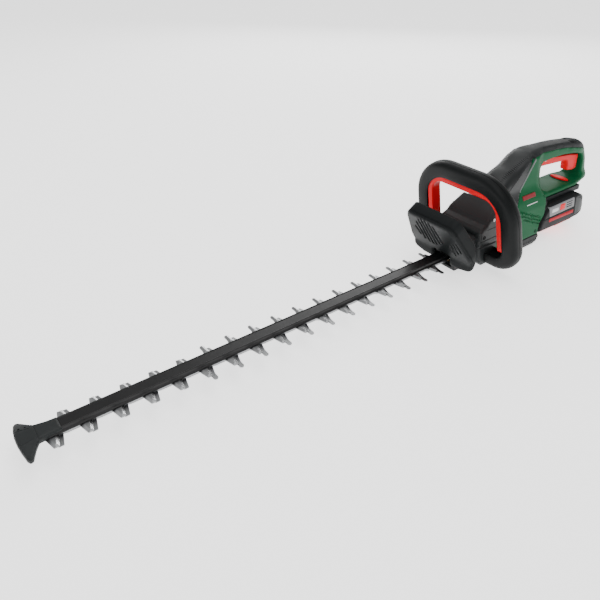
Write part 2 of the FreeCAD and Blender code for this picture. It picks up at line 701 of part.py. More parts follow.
def motor():
    spot = (MOTOR_X, 0)
    bottom, top = D.motor_bottom_z, D.motor_top_z
    shell = rod("can_outer", D.motor_radius, (bottom, top), spot)
    inside = rod("can_inner", D.motor_radius - 2, (bottom + 2, top + 1), spot)
    seat = rod("can_seat", 6, (bottom - 1, bottom + 3), spot)
    keep("motor_can", cut("motor_can", shell, [inside, seat]))
    keep("motor_stator", ring("motor_stator", D.motor_radius - 2, D.rotor_radius + 0.6,
                              (bottom + 4, top - 3), spot))
    keep("motor_rotor", ring("motor_rotor", D.rotor_radius, D.motor_shaft_radius,
                             (bottom + 5, top - 4), spot))
    keep("motor_shaft", rod("motor_shaft", D.motor_shaft_radius, (bottom, 72), spot))
    arm = box("plate_arm", (MOTOR_X - 24, -205), (-26, 26), (top, top + 3))
    legs = [box("plate_leg_%d" % side, (-224, -214), (side * 22 - 3, side * 22 + 3),
                (D.case_top_z, top + 1)) for side in (-1, 1)]
    holes = [rod("plate_centre", 6, (top - 1, top + 4), spot),
             rod("plate_pin_hole", D.idler_pin_radius, (top + 1, top + 4), (TRANSFER_X, 0))]
    keep("motor_plate", cut("motor_plate", join("motor_plate_solid", [arm] + legs), holes))
    inner = D.motor_shaft_radius + D.running
    keep("motor_bearings", group("motor_bearings", [
        ring("bearing_low", 6, inner, (bottom, bottom + 3.5), spot),
        ring("bearing_high", 6, inner, (top - 0.5, top + 3), spot)]))
    hub = rod("fan_hub", 5, (66.5, 71), spot)
    blades = [place(box("fan_blade_%d" % n, (0, 19), (-0.6, 0.6), (0, 4.5)), MOTOR_X, 0, 66.5,
                    (0, 0, 1), n * 40.0) for n in range(9)]
    keep("motor_fan", cut("motor_fan", join("fan_solid", [hub] + blades),
                          [rod("fan_bore", D.motor_shaft_radius, (66, 73), spot)]))


# ---------------------------------------------------------------- hoop handle

def hoop_block(body, side, inset, depth, start=0):
    """A rounded upright block in the hoop's own plane, inset all round."""
    tall = D.hoop_height - inset
    half = D.hoop_half - inset
    pad(body, YZ, start, [rectangle(-half, half, inset, tall)], depth, reverse=side < 0)
    low = D.hoop_low_corner - inset
    high = D.hoop_top_corner - inset
    middle = D.hoop_height.number / 2
    round_edges(body, low, lambda e: along_axis(e, 0) and e.BoundBox.ZMax < middle)
    round_edges(body, high, lambda e: along_axis(e, 0) and e.BoundBox.ZMin > middle)


def hoop_opening(body, side, half, low, high, depth):
    """Cuts a rounded window through the hoop block."""
    pocket(body, YZ, 0, [rectangle(-half, half, low, high)], depth, reverse=side > 0)

    def corner(edge):
        return along_axis(edge, 0) and abs(abs(edge.BoundBox.YMin) - half.number) < 0.01

    middle = D.hoop_height.number / 2
    inner_low = D.hoop_low_corner - D.hoop_band
    inner_high = D.hoop_top_corner - D.hoop_band
    round_edges(body, inner_low, lambda e: corner(e) and e.BoundBox.ZMax < middle)
    round_edges(body, inner_high, lambda e: corner(e) and e.BoundBox.ZMin > middle)


def hoop_shell(label, side):
    """Half of the hoop: side is 1 for the half that faces the tip."""
    body = new_body(label + "_shell")
    hoop_block(body, side, 0, D.hoop_depth)
    face = D.hoop_depth.number * side
    round_edges(body, D.hoop_round, lambda e: abs(e.BoundBox.XMin - face) < 0.01
                and abs(e.BoundBox.XMax - face) < 0.01)
    half = D.hoop_half - D.hoop_band
    hoop_opening(body, side, half, D.hoop_foot, D.hoop_height - D.hoop_band, D.hoop_depth)
    hollow = new_body(label + "_hollow")
    hoop_block(hollow, side, D.wall, D.hoop_depth - D.wall)
    core = new_body(label + "_core")
    hoop_block(core, side, D.hoop_band - D.wall, D.hoop_depth)
    cavity = cut(label + "_cavity", hollow, [core])
    holes = [hoop_hole(label, n) for n in (-1, 1)]
    solid = cut(label + "_solid", body, [cavity])
    lean_with_hoop(solid)
    return keep(label, cut(label, solid, holes))


def hoop_hole(label, side):
    return rod("%s_hole_%d" % (label, side), 2.7, (5, D.case_floor_z), hoop_spot(side))


def lean_with_hoop(thing):
    return place(thing, D.hoop_base_x, 0, D.hoop_base_z, (0, 1, 0), D.hoop_lean)


def hoop_screws():
    screws = []
    for side in (-1, 1):
        spot = hoop_spot(side)
        shank = rod("hoop_shank_%d" % side, 2.5, (21, D.case_top_z - 0.5), spot)
        head = rod("hoop_head_%d" % side, 2.65, (19.5, 21.5), spot)
        screws.append(join("hoop_screw_%d" % side, [shank, head]))
    keep("hoop_screws", group("hoop_screws", screws))


def bail():
    """Switch bail that lines the inside of the hoop on three sides."""
    gap = 0.6
    half = D.hoop_half - D.hoop_band - gap
    top = D.hoop_height - D.hoop_band - D.bail_travel - gap
    corner = D.hoop_top_corner - D.hoop_band
    outside = [(half, D.bail_foot)] + quarter(half - corner, top - corner, corner)
    inner = half - D.bail_band
    inside = [(inner, D.bail_foot)] + quarter(half - corner, top - corner, corner - D.bail_band)
    outline = outside + [(-y, z) for y, z in reversed(outside)]
    outline += [(-y, z) for y, z in inside] + list(reversed(inside))
    body = prism("bail", YZ, -D.bail_depth, outline, D.bail_depth * 2)
    lean_with_hoop(body)
    keep("bail", body)
    switch = box("switch_box", (-10.9, 10.9), (-9, 9), (D.hoop_height - 22, D.hoop_height - 12))
    keep("front_switch", lean_with_hoop(join("front_switch_fixed", [switch, box(
        "switch_tab", (-3, 3), (-4, 4), (D.hoop_height - 13, D.hoop_height - 10))])))


# ---------------------------------------------------------------- body shells and covers

def shell_outline():
    """Side view of a clamshell half, without the covers that sit on top of it."""
    return [(D.body_front_x, D.skid_height), (-345, D.skid_height), (D.dock_x, 22),
            (D.dock_x, D.deck_bottom_z), (-500, D.deck_bottom_z), (-530, 82), (-544, 85), (D.rear_x, 91),
            (-541, 122), (-510, 141), (-476, 150), (-432, 159), (-345, 166), (-322, 162),
            (-281, 104), (-262, 78), (D.body_front_x, 62)]


def hand_opening():
    return [(-384, D.deck_top_z), (-503, D.deck_top_z + 2), (-502, 132), (-392, 146.5), (-372, 143),
            (-363, 134), (-366, 112), (-374, 96)]


def body_shells():
    body = new_body("left_shell_half")
    front, dock = D.body_front_x, D.dock_x
    pad(body, XZ, 0, [shell_outline(), hand_opening()], D.grip_half, reverse=True)
    motor_part = [(front, D.skid_height), (-345, D.skid_height), (dock, 22), (dock, 98),
                  (-336, 118), (-291, 118), (-281, 104), (-262, 78), (front, 62)]
    pad(body, XZ, 0, [motor_part], D.body_half, reverse=True)
    deck = [(dock + 2, D.deck_bottom_z), (-500, D.deck_bottom_z), (-514, 84), (-514, D.deck_top_z),
            (-384, D.deck_top_z), (-374, 96), (dock + 2, 98)]
    pad(body, XZ, 0, [deck], D.deck_half, reverse=True)
    skin = D.wall
    motor_in = [(front + 6, 11), (-343, 11), (dock + skin, 24), (dock + skin, 93), (-337, 112),
                (-286, 112), (-274, 98), (-255, 84), (front + 6, 72)]
    pocket(body, XZ, 0, [motor_in], D.body_half - skin)
    grip_in = [(-296, 111), (-324, 152), (-346, 162.5), (-431, 155.5), (-475, 146.5),
               (-508, 137.5), (-535.5, 121.5), (-540, 98), (-527, 88), (-507, 87),
               (-505.5, 135.5), (-394, 150), (-371, 150), (-359, 141), (-362, 112), (-358, 104),
               (-340, 111)]
    pocket(body, XZ, 0, [grip_in], D.grip_half - skin)
    slot = [(-370, 134), (-501, 120), (-501.5, 139), (-382, 156), (-370, 154)]
    pocket(body, XZ, 0, [slot], 8.5)
    button_well = rectangle(-466, -450, D.deck_bottom_z + 2, D.deck_top_z + 4)
    pocket(body, XZ, 0, [button_well], 19)
    bosses = [rod("shell_boss_%d" % n, 5, (1, D.body_half - 1), spot, "y")
              for n, spot in enumerate(screw_spots())]
    pilots = [rod("shell_pilot_%d" % n, 2.02, (-1, 25), spot, "y")
              for n, spot in enumerate(screw_spots())]
    pilots.append(rod("shell_pin_hole", 2, (-1, 14), (-379, 147.5), "y"))
    half = join("left_shell_joined", [body] + bosses)
    left = cut("left_shell", half, pilots)
    keep("left_shell", left)
    mirror = doc.addObject("Part::Mirroring", "right_shell_half")
    mirror.Source = half
    mirror.Normal = FreeCAD.Vector(0, 1, 0)
    holes, screws = [], []
    for n, spot in enumerate(screw_spots()):
        deep = D.body_half
        holes.append(rod("shell_hole_%d" % n, 2.02, (-deep - 1, 1), spot, "y"))
        holes.append(rod("shell_sink_%d" % n, 4.1, (-deep - 1, -deep + 4), spot, "y"))
        shank = rod("body_shank_%d" % n, 2, (-deep + 1, 24), spot, "y")
        head = rod("body_head_%d" % n, 4, (-deep + 0.6, -deep + 4), spot, "y")
        screws.append(join("body_screw_%d" % n, [shank, head]))
    holes.append(rod("shell_pin_hole_right", 2, (-14, 1), (-379, 147.5), "y"))
    keep("right_shell", cut("right_shell", mirror, holes))
    keep("body_screws", group("body_screws", screws))


def screw_spots():
    return [(-280, 20), (-351, 30), (-300, 104), (-351, 86)]


def covers():
    front = D.body_front_x
    body = new_body("top_cover")
    outline = [(front, 62), (-262, 78), (-281, 104), (-322, 162), (-330, 175), (-310, 167),
               (-284, 155), (-252, 142), (front, 112)]
    pad(body, XZ, -D.cover_half, [outline], D.cover_half * 2)
    edge_y = D.cover_half.number

    def top_side(edge):
        flat = abs(edge.BoundBox.YMin - edge.BoundBox.YMax) < 0.01
        return flat and abs(abs(edge.BoundBox.YMin) - edge_y) < 0.01 and edge.BoundBox.ZMin > 111 \
            and edge.BoundBox.XMax > -325 and edge.CenterOfMass.z > 126 - (edge.CenterOfMass.x + 216) \
            * 0.4

    round_edges(body, 14, top_side)
    hollow = [(front + 6, 56), (-260, 74), (-278, 100), (-316, 156), (-309, 162), (-283, 150),
              (-251, 137.5), (front + 6, 104)]
    pocket(body, XZ, -D.cover_half + D.wall, [hollow], (D.cover_half - D.wall) * 2, reverse=True)
    keep("top_cover", body)
    grip = new_body("grip_overmould")
    cap = [(-322, 162), (-345, 166), (-432, 159), (-476, 150), (-510, 141), (-541, 122),
           (-540.5, 130), (-525, 147), (-505, 157), (-419, 170), (-356, 176), (-330, 175)]
    pad(grip, XZ, -D.grip_half, [cap], D.grip_half * 2)
    keep("grip_overmould", grip)
    skid = prism("base_skid", XY, 0, rectangle(-346, front, -38, 38), D.skid_height)
    round_edges(skid, 3, lambda e: e.BoundBox.ZMax < 0.01)
    keep("base_skid", skid)


def trims():
    """Silver strip, badge and vent bars on both sides."""
    strip = [(-280, 114), (-284.5, 112), (-317, 158), (-312.5, 160)]
    sides = []
    for side, start in (("left", -D.cover_half), ("right", D.cover_half)):
        sides.append(prism("strip_" + side, XZ, start, strip, 0.8, reverse=side == "left"))
    keep("accent_strips", group("accent_strips", sides))
    badge = rectangle(-334, -300, 84, 96)
    sides = []
    for side, start in (("left", -D.body_half), ("right", D.body_half)):
        sides.append(prism("badge_" + side, XZ, start, badge, 0.8, reverse=side == "left"))
    keep("side_badges", group("side_badges", sides))


# ---------------------------------------------------------------- controls and electrics

def controls():
    trigger = new_body("trigger_lever")
    outline = [(-376, 152), (-372, 146), (-376, 134), (-474, 125), (-478, 104), (-484, 101),
               (-498, 103), (-499, 133)]
    pad(trigger, XZ, -7.5, [outline], 15)
    hole = rod("trigger_hole", 2.05, (-9, 9), (-379, 147.5), "y")
    keep("trigger", cut("trigger", trigger, [hole]))
    keep("trigger_pin", rod("trigger_pin", 2, (-13.9, 13.9), (-379, 147.5), "y"))
    keep("trigger_spring", ring("trigger_spring", 3, 2.2, (136.5, 144), (-480, 0)))
    keep("rear_switch", join("rear_switch", [
        box("switch_case", (-446, -424), (-6, 6), (146.6, 151.4)),
        box("switch_plunger", (-438, -434), (-2, 2), (145.7, 147))]))
    top = prism("mode_button", XY, D.deck_top_z - 3, rectangle(-465, -451, -18, 18), 6)
    round_edges(top, 2, lambda e: e.BoundBox.ZMin > D.deck_top_z.number + 2.9)
    keep("mode_button", top)
    keep("mode_button_spring", ring("mode_button_spring", 3, 2.2,
                                    (D.deck_bottom_z + 2, D.deck_top_z - 3), (-458, 0)))
    keep("controller_board", box("controller_board", (-344, -288), (-32, 32), (30, 32)))
    keep("controller_heat_sink", join("controller_heat_sink", [
        box("sink_base", (-338, -294), (-26, 26), (32, 36))] + [
        box("sink_fin_%d" % n, (-338, -294), (-26 + 6 * n, -24 + 6 * n), (35.5, 50))
        for n in range(9)]))


def battery_dock():
    front = D.dock_x
    plate = box("dock_plate", (-482, front), (-29, 29), (75.5, D.deck_bottom_z))
    wall = box("dock_wall", (front - 2.5, front), (-38, 38), (36, D.deck_bottom_z))
    sides = []
    for name, side in (("left", 1), ("right", -1)):
        low, high = sorted((side * 26.5, side * 30))
        sides.append(box("dock_side_" + name, (-482, front), (low, high), (70.5, D.deck_bottom_z)))
        low, high = sorted((side * 22.5, side * 27))
        sides.append(box("dock_lip_" + name, (-482, front), (low, high), (70.5, 72.2)))
    slots = [box("dock_slot_%d" % n, (front - 3, front + 1), (y - 0.5, y + 0.5), (56, 64))
             for n, y in enumerate((-14, 0, 14))]
    keep("battery_dock", cut("battery_dock", join("dock_solid", [plate, wall] + sides), slots))
    keep("dock_terminals", group("dock_terminals", [
        box("dock_blade_%d" % n, (front - 16, front), (y - 0.5, y + 0.5), (56, 64))
        for n, y in enumerate((-14, 0, 14))]))


def battery():
    front, rear, half = D.battery_front_x, D.battery_rear_x, D.battery_half
    low, high, skin = D.battery_bottom_z, D.battery_top_z, 2.5
    split = low + 22
    case = new_body("battery_tub_block")
    pad(case, XY, low, [rectangle(rear, front, -half, half)], split - low)
    round_edges(case, 7, lambda e: along_axis(e, 2))
    round_edges(case, 3, lambda e: e.BoundBox.ZMax < D.battery_bottom_z.number + 0.01)
    inner = rectangle(rear + skin, front - skin, -half + skin, half - skin)
    pocket(case, XY, low + 9, [inner], 30, reverse=True)
    well = box("latch_well", (-451, -394), (-half - 1, half + 1), (low - 1, low + 6.5))
    keep("battery_tub", cut("battery_tub", case, [well]))
    lid = new_body("battery_lid_block")
    pad(lid, XY, split, [rectangle(rear, front, -half, half)], high - split)
    round_edges(lid, 7, lambda e: along_axis(e, 2))
    round_edges(lid, 3, lambda e: e.BoundBox.ZMin > D.battery_top_z.number - 0.01)
    pocket(lid, XY, split, [inner], high - split - skin, reverse=True)
    neck = box("rail_neck", (-478, front), (-22, 22), (high - 1, 72.6))
    head = box("rail_head", (-478, front), (-26, 26), (72.4, 75))
    slots = [box("battery_slot_%d" % n, (front - 15, front + 1), (y - 1.3, y + 1.3), (55, 65))
             for n, y in enumerate((-14, 0, 14))]
    keep("battery_lid", cut("battery_lid", join("lid_solid", [lid, neck, head]), slots))
    bumper = prism("battery_bumper", XY, low + 3, rectangle(rear - 5, rear, 3 - half, half - 3),
                   high - low - 6)
    round_edges(bumper, 3, lambda e: along_axis(e, 2) and e.BoundBox.XMax < rear.number - 4)
    keep("battery_bumper", bumper)
    labels = [box("label_left", (-452, -374), (half, half + 0.6), (50, 66)),
              box("label_right", (-452, -374), (-half - 0.6, -half), (50, 66))]
    keep("battery_labels", group("battery_labels", labels))
    cells = []
    spacing = D.cell_radius * 2 + 0.4
    for row in range(2):
        for column in range(5):
            spot = (rear + 14 + spacing * (column + 0.5), low + 9.5 + D.cell_radius)
            cells.append(rod("cell_%d_%d" % (row, column), D.cell_radius,
                             (-34 + 34.5 * row, -0.5 + 34.5 * row), spot, "y"))
    keep("battery_cells", group("battery_cells", cells))
    keep("battery_latch", box("battery_latch", (-450.5, -394.5), (-half + 0.6, half - 0.6),
                              (low - 2.5, low + 3)))


blade("upper_blade", D.blade_top_z - D.blade_thickness, D.blade_shift, -1)
blade("lower_blade", D.blade_top_z - D.blade_thickness * 2 - D.blade_gap, -D.blade_shift, 1)
guide_bar()
blade_bolts()
tip_guard()
shield()
gear_case()
bottom_plate()
housing_cover()
crank()
gears()
motor()
hoop_shell("hoop_front_shell", 1)
hoop_shell("hoop_rear_shell", -1)
hoop_screws()
bail()
body_shells()
covers()
trims()
controls()
battery_dock()
battery()
doc.recompute()

for thing in doc.Objects:
    if "Invalid" in thing.State or "Error" in thing.State:
        raise RuntimeError("%s failed: %s" % (thing.Name, thing.State))
for label, thing in parts.items():
    if thing.Shape.isNull() or not thing.Shape.isValid():
        raise RuntimeError("%s has no valid shape" % label)

os.makedirs("parts", exist_ok=True)
for label, thing in parts.items():
    thing.Shape.exportStep("parts/%s.step" % label)
    size = thing.Shape.BoundBox
    print("%-22s %2d solids %9.0f mm3  x %.1f %.1f  y %.1f %.1f  z %.1f %.1f"
          % (label, len(thing.Shape.Solids), thing.Shape.Volume, size.XMin, size.XMax,
             size.YMin, size.YMax, size.ZMin, size.ZMax))
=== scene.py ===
import json
import math
import bpy
import numpy as np
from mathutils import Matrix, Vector
from mathutils.geometry import delaunay_2d_cdt


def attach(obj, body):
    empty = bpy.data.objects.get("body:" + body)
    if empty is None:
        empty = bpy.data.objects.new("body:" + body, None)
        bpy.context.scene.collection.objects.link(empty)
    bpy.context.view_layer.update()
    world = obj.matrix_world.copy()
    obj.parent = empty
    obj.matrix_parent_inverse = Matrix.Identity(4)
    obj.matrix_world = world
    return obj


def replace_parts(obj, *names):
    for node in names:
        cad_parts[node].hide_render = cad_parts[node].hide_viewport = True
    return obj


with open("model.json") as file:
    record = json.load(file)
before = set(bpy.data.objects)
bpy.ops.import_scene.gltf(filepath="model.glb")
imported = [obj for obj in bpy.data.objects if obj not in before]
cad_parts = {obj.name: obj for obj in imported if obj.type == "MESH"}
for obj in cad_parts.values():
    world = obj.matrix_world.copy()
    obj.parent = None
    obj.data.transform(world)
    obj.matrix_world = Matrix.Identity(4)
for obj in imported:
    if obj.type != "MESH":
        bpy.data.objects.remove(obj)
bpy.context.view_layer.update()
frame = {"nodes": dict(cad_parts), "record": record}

# Sizes are in millimetres on the CAD's axes: x towards the tip, y to the left, z up. Plans of parts that
# have a left and a right half are drawn in (x, z), and the rest in (x, y).
MM = 0.001


# ---------------------------------------------------------------- materials

GLOSS_SCALE = 28
GRAIN_DEPTH = 0.0002
COAT_ROUGHNESS = 0.25


def material(name, color, rough, metal=0.0, grain=0.0, grain_scale=1500.0, stretch=(1, 1, 1), coat=0.0,
             wear=0.12, shine=0.5):
    """Procedural finish: fine grain in the surface and slow changes, of up to wear, in its roughness."""
    mat = bpy.data.materials.new(name)
    mat.use_nodes = True
    nodes, links = mat.node_tree.nodes, mat.node_tree.links
    shader = nodes["Principled BSDF"]
    shader.inputs["Base Color"].default_value = (*color, 1)
    shader.inputs["Metallic"].default_value = metal
    shader.inputs["Specular IOR Level"].default_value = shine
    shader.inputs["Coat Weight"].default_value = coat
    shader.inputs["Coat Roughness"].default_value = COAT_ROUGHNESS
    where = nodes.new("ShaderNodeTexCoord")
    fit = nodes.new("ShaderNodeMapping")
    fit.inputs["Scale"].default_value = stretch
    links.new(where.outputs["Object"], fit.inputs["Vector"])
    slow = nodes.new("ShaderNodeTexNoise")
    slow.inputs["Scale"].default_value = GLOSS_SCALE
    slow.inputs["Detail"].default_value = 6
    links.new(fit.outputs["Vector"], slow.inputs["Vector"])
    spread = nodes.new("ShaderNodeMapRange")
    spread.inputs["To Min"].default_value = max(rough - wear, 0.04)
    spread.inputs["To Max"].default_value = min(rough + wear, 1)
    links.new(slow.outputs["Fac"], spread.inputs["Value"])
    links.new(spread.outputs["Result"], shader.inputs["Roughness"])
    if grain:
        fine = nodes.new("ShaderNodeTexNoise")
        fine.inputs["Scale"].default_value = grain_scale
        fine.inputs["Detail"].default_value = 3
        links.new(fit.outputs["Vector"], fine.inputs["Vector"])
        bump = nodes.new("ShaderNodeBump")
        bump.inputs["Strength"].default_value = grain
        bump.inputs["Distance"].default_value = GRAIN_DEPTH
        links.new(fine.outputs["Fac"], bump.inputs["Height"])
        links.new(bump.outputs["Normal"], shader.inputs["Normal"])
    return mat


GREEN = material("green_shell", (0.0005, 0.080, 0.026), 0.45, grain=0.25, shine=0.09)
BLACK = material("black_moulding", (0.0066, 0.0080, 0.0084), 0.46, grain=0.35, shine=0.13)
HOOP = material("hoop_moulding", (0.0042, 0.0052, 0.0054), 0.46, grain=0.4, shine=0.13)
COVER = material("cover_moulding", (0.0100, 0.0118, 0.0122), 0.36, grain=0.3, shine=0.3)
BAND = material("label_band", (0.42, 0.004, 0.015), 0.42, grain=0.1, shine=0.1)
GREY = material("charcoal_moulding", (0.0160, 0.0186, 0.0190), 0.46, grain=0.4, shine=0.25)
RUBBER = material("soft_grip", (0.0135, 0.0155, 0.0160), 0.6, grain=0.7, grain_scale=900, shine=0.22)
RED = material("red_moulding", (0.72, 0.002, 0.009), 0.38, grain=0.12, shine=0.1)
PRINT = material("badge_print", (0.2, 0.004, 0.008), 0.4, grain=0.1, shine=0.3)
SILVER = material("silver_paint", (0.08, 0.092, 0.088), 0.4, metal=0.2, grain=0.1)
LABEL = material("label_plate", (0.17, 0.173, 0.18), 0.45, grain=0.1, shine=0.3)
WHITE = material("white_print", (0.62, 0.62, 0.62), 0.5, grain=0.1, shine=0.3)
BAR = material("bar_coating", (0.006, 0.006, 0.0065), 0.36, grain=0.15, shine=0.3)
BLADE = material("blade_steel", (0.30, 0.305, 0.31), 0.36, metal=1.0, grain=0.3, grain_scale=420,
                 stretch=(1, 8, 1))
# Bright ground steel, partly real grind and partly painted highlight: only the teeth's rear-facing flanks
# take it.
GROUND_STEEL_AND_HIGHLIGHT = material("ground_and_highlight_steel", (0.78, 0.79, 0.80), 0.22, metal=1.0, grain=0.25, grain_scale=600,
                  stretch=(6, 1, 1), wear=0.08)
SCREW = material("screw_steel", (0.42, 0.42, 0.43), 0.32, metal=1.0, grain=0.1)
CASE = material("case_paint", (0.010, 0.0105, 0.011), 0.44, grain=0.5, grain_scale=700, shine=0.25)
GEAR = material("gear_steel", (0.4, 0.4, 0.41), 0.34, metal=1.0, grain=0.2)
ALLOY = material("cast_alloy", (0.5, 0.51, 0.53), 0.45, metal=1.0, grain=0.6, grain_scale=500)
BRONZE = material("bronze", (0.55, 0.36, 0.16), 0.35, metal=1.0, grain=0.2)
BOARD = material("board", (0.01, 0.16, 0.06), 0.35, grain=0.1, coat=0.4)
BRASS = material("terminal_brass", (0.75, 0.5, 0.2), 0.25, metal=1.0, grain=0.1)
WRAP = material("cell_wrap", (0.03, 0.12, 0.42), 0.35, grain=0.1, coat=0.3)
# Near black, painted shade: flat dark discs stand in for the shade down in dimples and screw bores. The
# battery's fine print bars use the same colour.
RECESS_SHADE_AND_PRINT = material("painted_recess_shade_and_print", (0.003, 0.003, 0.0035), 0.8, grain=0.2, shine=0.1)

FINISH = {
    "body_green": GREEN, "black_plastic": BLACK, "dark_grey_plastic": GREY, "red_plastic": RED,
    "silver_trim": SILVER, "label_grey": LABEL, "blade_steel": BLADE, "screw_steel": SCREW,
    "gear_steel": GEAR, "bar_black": BAR, "cast_alloy": ALLOY, "bronze": BRONZE, "soft_grip": RUBBER,
    "board_green": BOARD, "terminal_brass": BRASS, "cell_wrap": WRAP, "case_paint": CASE,
}
# The CAD's own meshes, seen where no piece replaces them, take a finish by their slot.
for entry in frame["record"]["subparts"]:
    thing = frame["nodes"][entry["node"]]
    thing.data.materials.clear()
    thing.data.materials.append(FINISH[entry["material_slot"]])


# ---------------------------------------------------------------- meshes

def piece(name, points, faces, mat, body, sharp=32):
    """A mesh piece from points in millimetres; it rides on a CAD body."""
    mesh = bpy.data.meshes.new(name)
    mesh.from_pydata([(x * MM, y * MM, z * MM) for x, y, z in points], [], faces)
    mesh.validate()
    mesh.shade_smooth()
    mesh.set_sharp_from_angle(angle=math.radians(sharp))
    mesh.materials.append(mat)
    thing = bpy.data.objects.new(name, mesh)
    bpy.context.scene.collection.objects.link(thing)
    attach(thing, body)
    return thing


def flow(points, steps=4):
    """Catmull-Rom curve through the points."""
    pts = [np.array(p, float) for p in points]
    last = len(pts) - 1
    out = []
    for i in range(last):
        a, b, c, d = pts[max(i - 1, 0)], pts[i], pts[i + 1], pts[min(i + 2, last)]
        for k in range(steps):
            t = k / steps
            out.append(tuple(0.5 * (2 * b + (c - a) * t + (2 * a - 5 * b + 4 * c - d) * t * t
                                    + (3 * b - 3 * c + d - a) * t ** 3)))
    out.append(tuple(pts[-1]))
    return out


def soften(points, radius, steps=5):
    """Rounds the corners of a closed polygon. Each point may carry its own radius."""
    most_of_edge, least_reach = 0.49, 0.05
    out = []
    count = len(points)
    for i in range(count):
        here = np.array(points[i][:2], float)
        before = np.array(points[i - 1][:2], float)
        after = np.array(points[(i + 1) % count][:2], float)
        r = points[i][2] if len(points[i]) > 2 else radius
        a, b = before - here, after - here
        la, lb = np.linalg.norm(a), np.linalg.norm(b)
        cosine = float(np.clip(np.dot(a, b) / (la * lb), -1, 1))
        half = math.acos(cosine) / 2
        reach = min(r / max(math.tan(half), 1e-3), most_of_edge * la, most_of_edge * lb)
        if reach < least_reach:
            out.append(tuple(here))
            continue
        start, end = here + a / la * reach, here + b / lb * reach
        for k in range(steps + 1):
            t = k / steps
            out.append(tuple((1 - t) ** 2 * start + 2 * t * (1 - t) * here + t * t * end))
    return out


def mirrored(points):
    """The points in reverse order, with their first coordinate negated."""
    return [(-first, *rest) for first, *rest in reversed(points)]


def flat_loop(points):
    """A loop of plain (a, b) pairs, whatever else its points carry."""
    return [tuple(map(float, p[:2])) for p in points]


def ease(t):
    """Smooth step from 0 to 1 as t goes from 0 to 1."""
    t = np.clip(t, 0, 1)
    return t * t * (3 - 2 * t)


def inside(points, loop):
    """Even-odd test of many points against one loop."""
    x, y = points[:, 0], points[:, 1]
    hit = np.zeros(len(points), bool)
    for (x1, y1), (x2, y2) in zip(loop, loop[1:] + loop[:1]):
        cross = (y1 > y) != (y2 > y)
        with np.errstate(divide="ignore", invalid="ignore"):
            at = (x2 - x1) * (y - y1) / (y2 - y1) + x1
        hit ^= cross & (x < at)
    return hit


def distances(points, starts, ends):
    """Distance of every point to every segment."""
    span = ends - starts
    length = np.maximum((span ** 2).sum(1), 1e-12)
    offset = points[:, None, :] - starts[None]
    t = np.clip((offset * span[None]).sum(2) / length, 0, 1)
    return np.linalg.norm(offset - t[..., None] * span[None], axis=2)


def split_edges(loop, step):
    """The loop with each edge cut into equal stretches about one step long."""
    out = []
    for a, b in zip(loop, loop[1:] + loop[:1]):
        a, b = np.array(a[:2], float), np.array(b[:2], float)
        count = max(int(np.linalg.norm(b - a) / step), 1)
        out += [tuple(a + (b - a) * k / count) for k in range(count)]
    return out


def within(points, loops):
    """Which points lie inside the first loop and outside the others."""
    held = inside(points, loops[0])
    for hole in loops[1:]:
        held &= ~inside(points, hole)
    return held


def rim_edges(loops, radii):
    """Start, end and rounding of every edge of the loops."""
    starts = [np.array(loop, float) for loop in loops]
    ends = [np.roll(a, -1, 0) for a in starts]
    rounding = []
    for a, b, radius in zip(starts, ends, radii):
        middle = (a + b) / 2
        rounding.append(radius(middle[:, 0], middle[:, 1]) if callable(radius)
                        else np.full(len(a), float(radius)))
    return np.vstack(starts), np.vstack(ends), np.concatenate(rounding)


def ring_points(starts, ends, rounding, ratios):
    """Points beside the edges, at ratios of their rounding, except where another edge is nearer."""
    along = ends - starts
    normal = np.stack([-along[:, 1], along[:, 0]], 1)
    normal /= np.maximum(np.linalg.norm(normal, axis=1, keepdims=True), 1e-9)
    middles = (starts + ends) / 2
    rings = []
    for ratio in ratios:
        for side in (1, -1):
            reach = rounding[:, None] * ratio
            spots = middles + normal * reach * side
            gap = distances(spots, starts, ends).min(1)
            rings.append(spots[gap > reach[:, 0] * 0.96])
    return rings


def grid_points(starts, ends, rounding, spacing):
    """A square grid that keeps clear of the rounded edges."""
    low, high = starts.min(0), starts.max(0)
    grid = np.stack(np.meshgrid(np.arange(low[0] + 1, high[0], spacing),
                                np.arange(low[1] + 1, high[1], spacing)), -1).reshape(-1, 2)
    near = distances(grid, starts, ends)
    return grid[(near > np.maximum(rounding[None] * 1.15, spacing * 0.5)).all(1)]


def groove_points(start, end, half):
    """Rows of points along a groove, closest together at its two walls."""
    start, end = np.array(start, float), np.array(end, float)
    span = end - start
    across = np.array([-span[1], span[0]]) / np.linalg.norm(span)
    return np.array([start + span * t + across * half * offset for t in np.linspace(0, 1, 18)
                     for offset in (-1.15, -0.95, -0.5, 0, 0.5, 0.95, 1.15)])


def plan_triangles(loops, extra):
    """Plan points and triangles that fill the outline and pass through the extra points."""
    fixed, edges = [], []
    for loop in loops:
        first = len(fixed)
        fixed += loop
        edges += [(first + k, first + (k + 1) % len(loop)) for k in range(len(loop))]
    spots = [Vector(p) for p in fixed] + [Vector((float(x), float(y))) for x, y in extra]
    verts, _, tris, _, _, _ = delaunay_2d_cdt(spots, edges, [], 0, 1e-4)
    plan = np.array([(v.x, v.y) for v in verts])
    keep = within(plan[np.array(tris)].mean(1), loops)
    return plan, [t for t, kept in zip(tris, keep) if kept]


def closed_faces(tris, count):
    """The triangles, the same ones turned over count points later, and the walls between them."""
    edges = dict.fromkeys((t[k], t[(k + 1) % 3]) for t in tris for k in range(3))
    walls = [(b, a, a + count, b + count) for a, b in edges if (b, a) not in edges]
    return [tuple(t) for t in tris] + [tuple(i + count for i in reversed(t)) for t in tris] + walls


LONGEST_EDGE = 3.0
BEVEL_RINGS = (0.5, 0.94, 1.0)
ROUND_RINGS = (0.05, 0.17, 0.35, 0.6, 1.0)


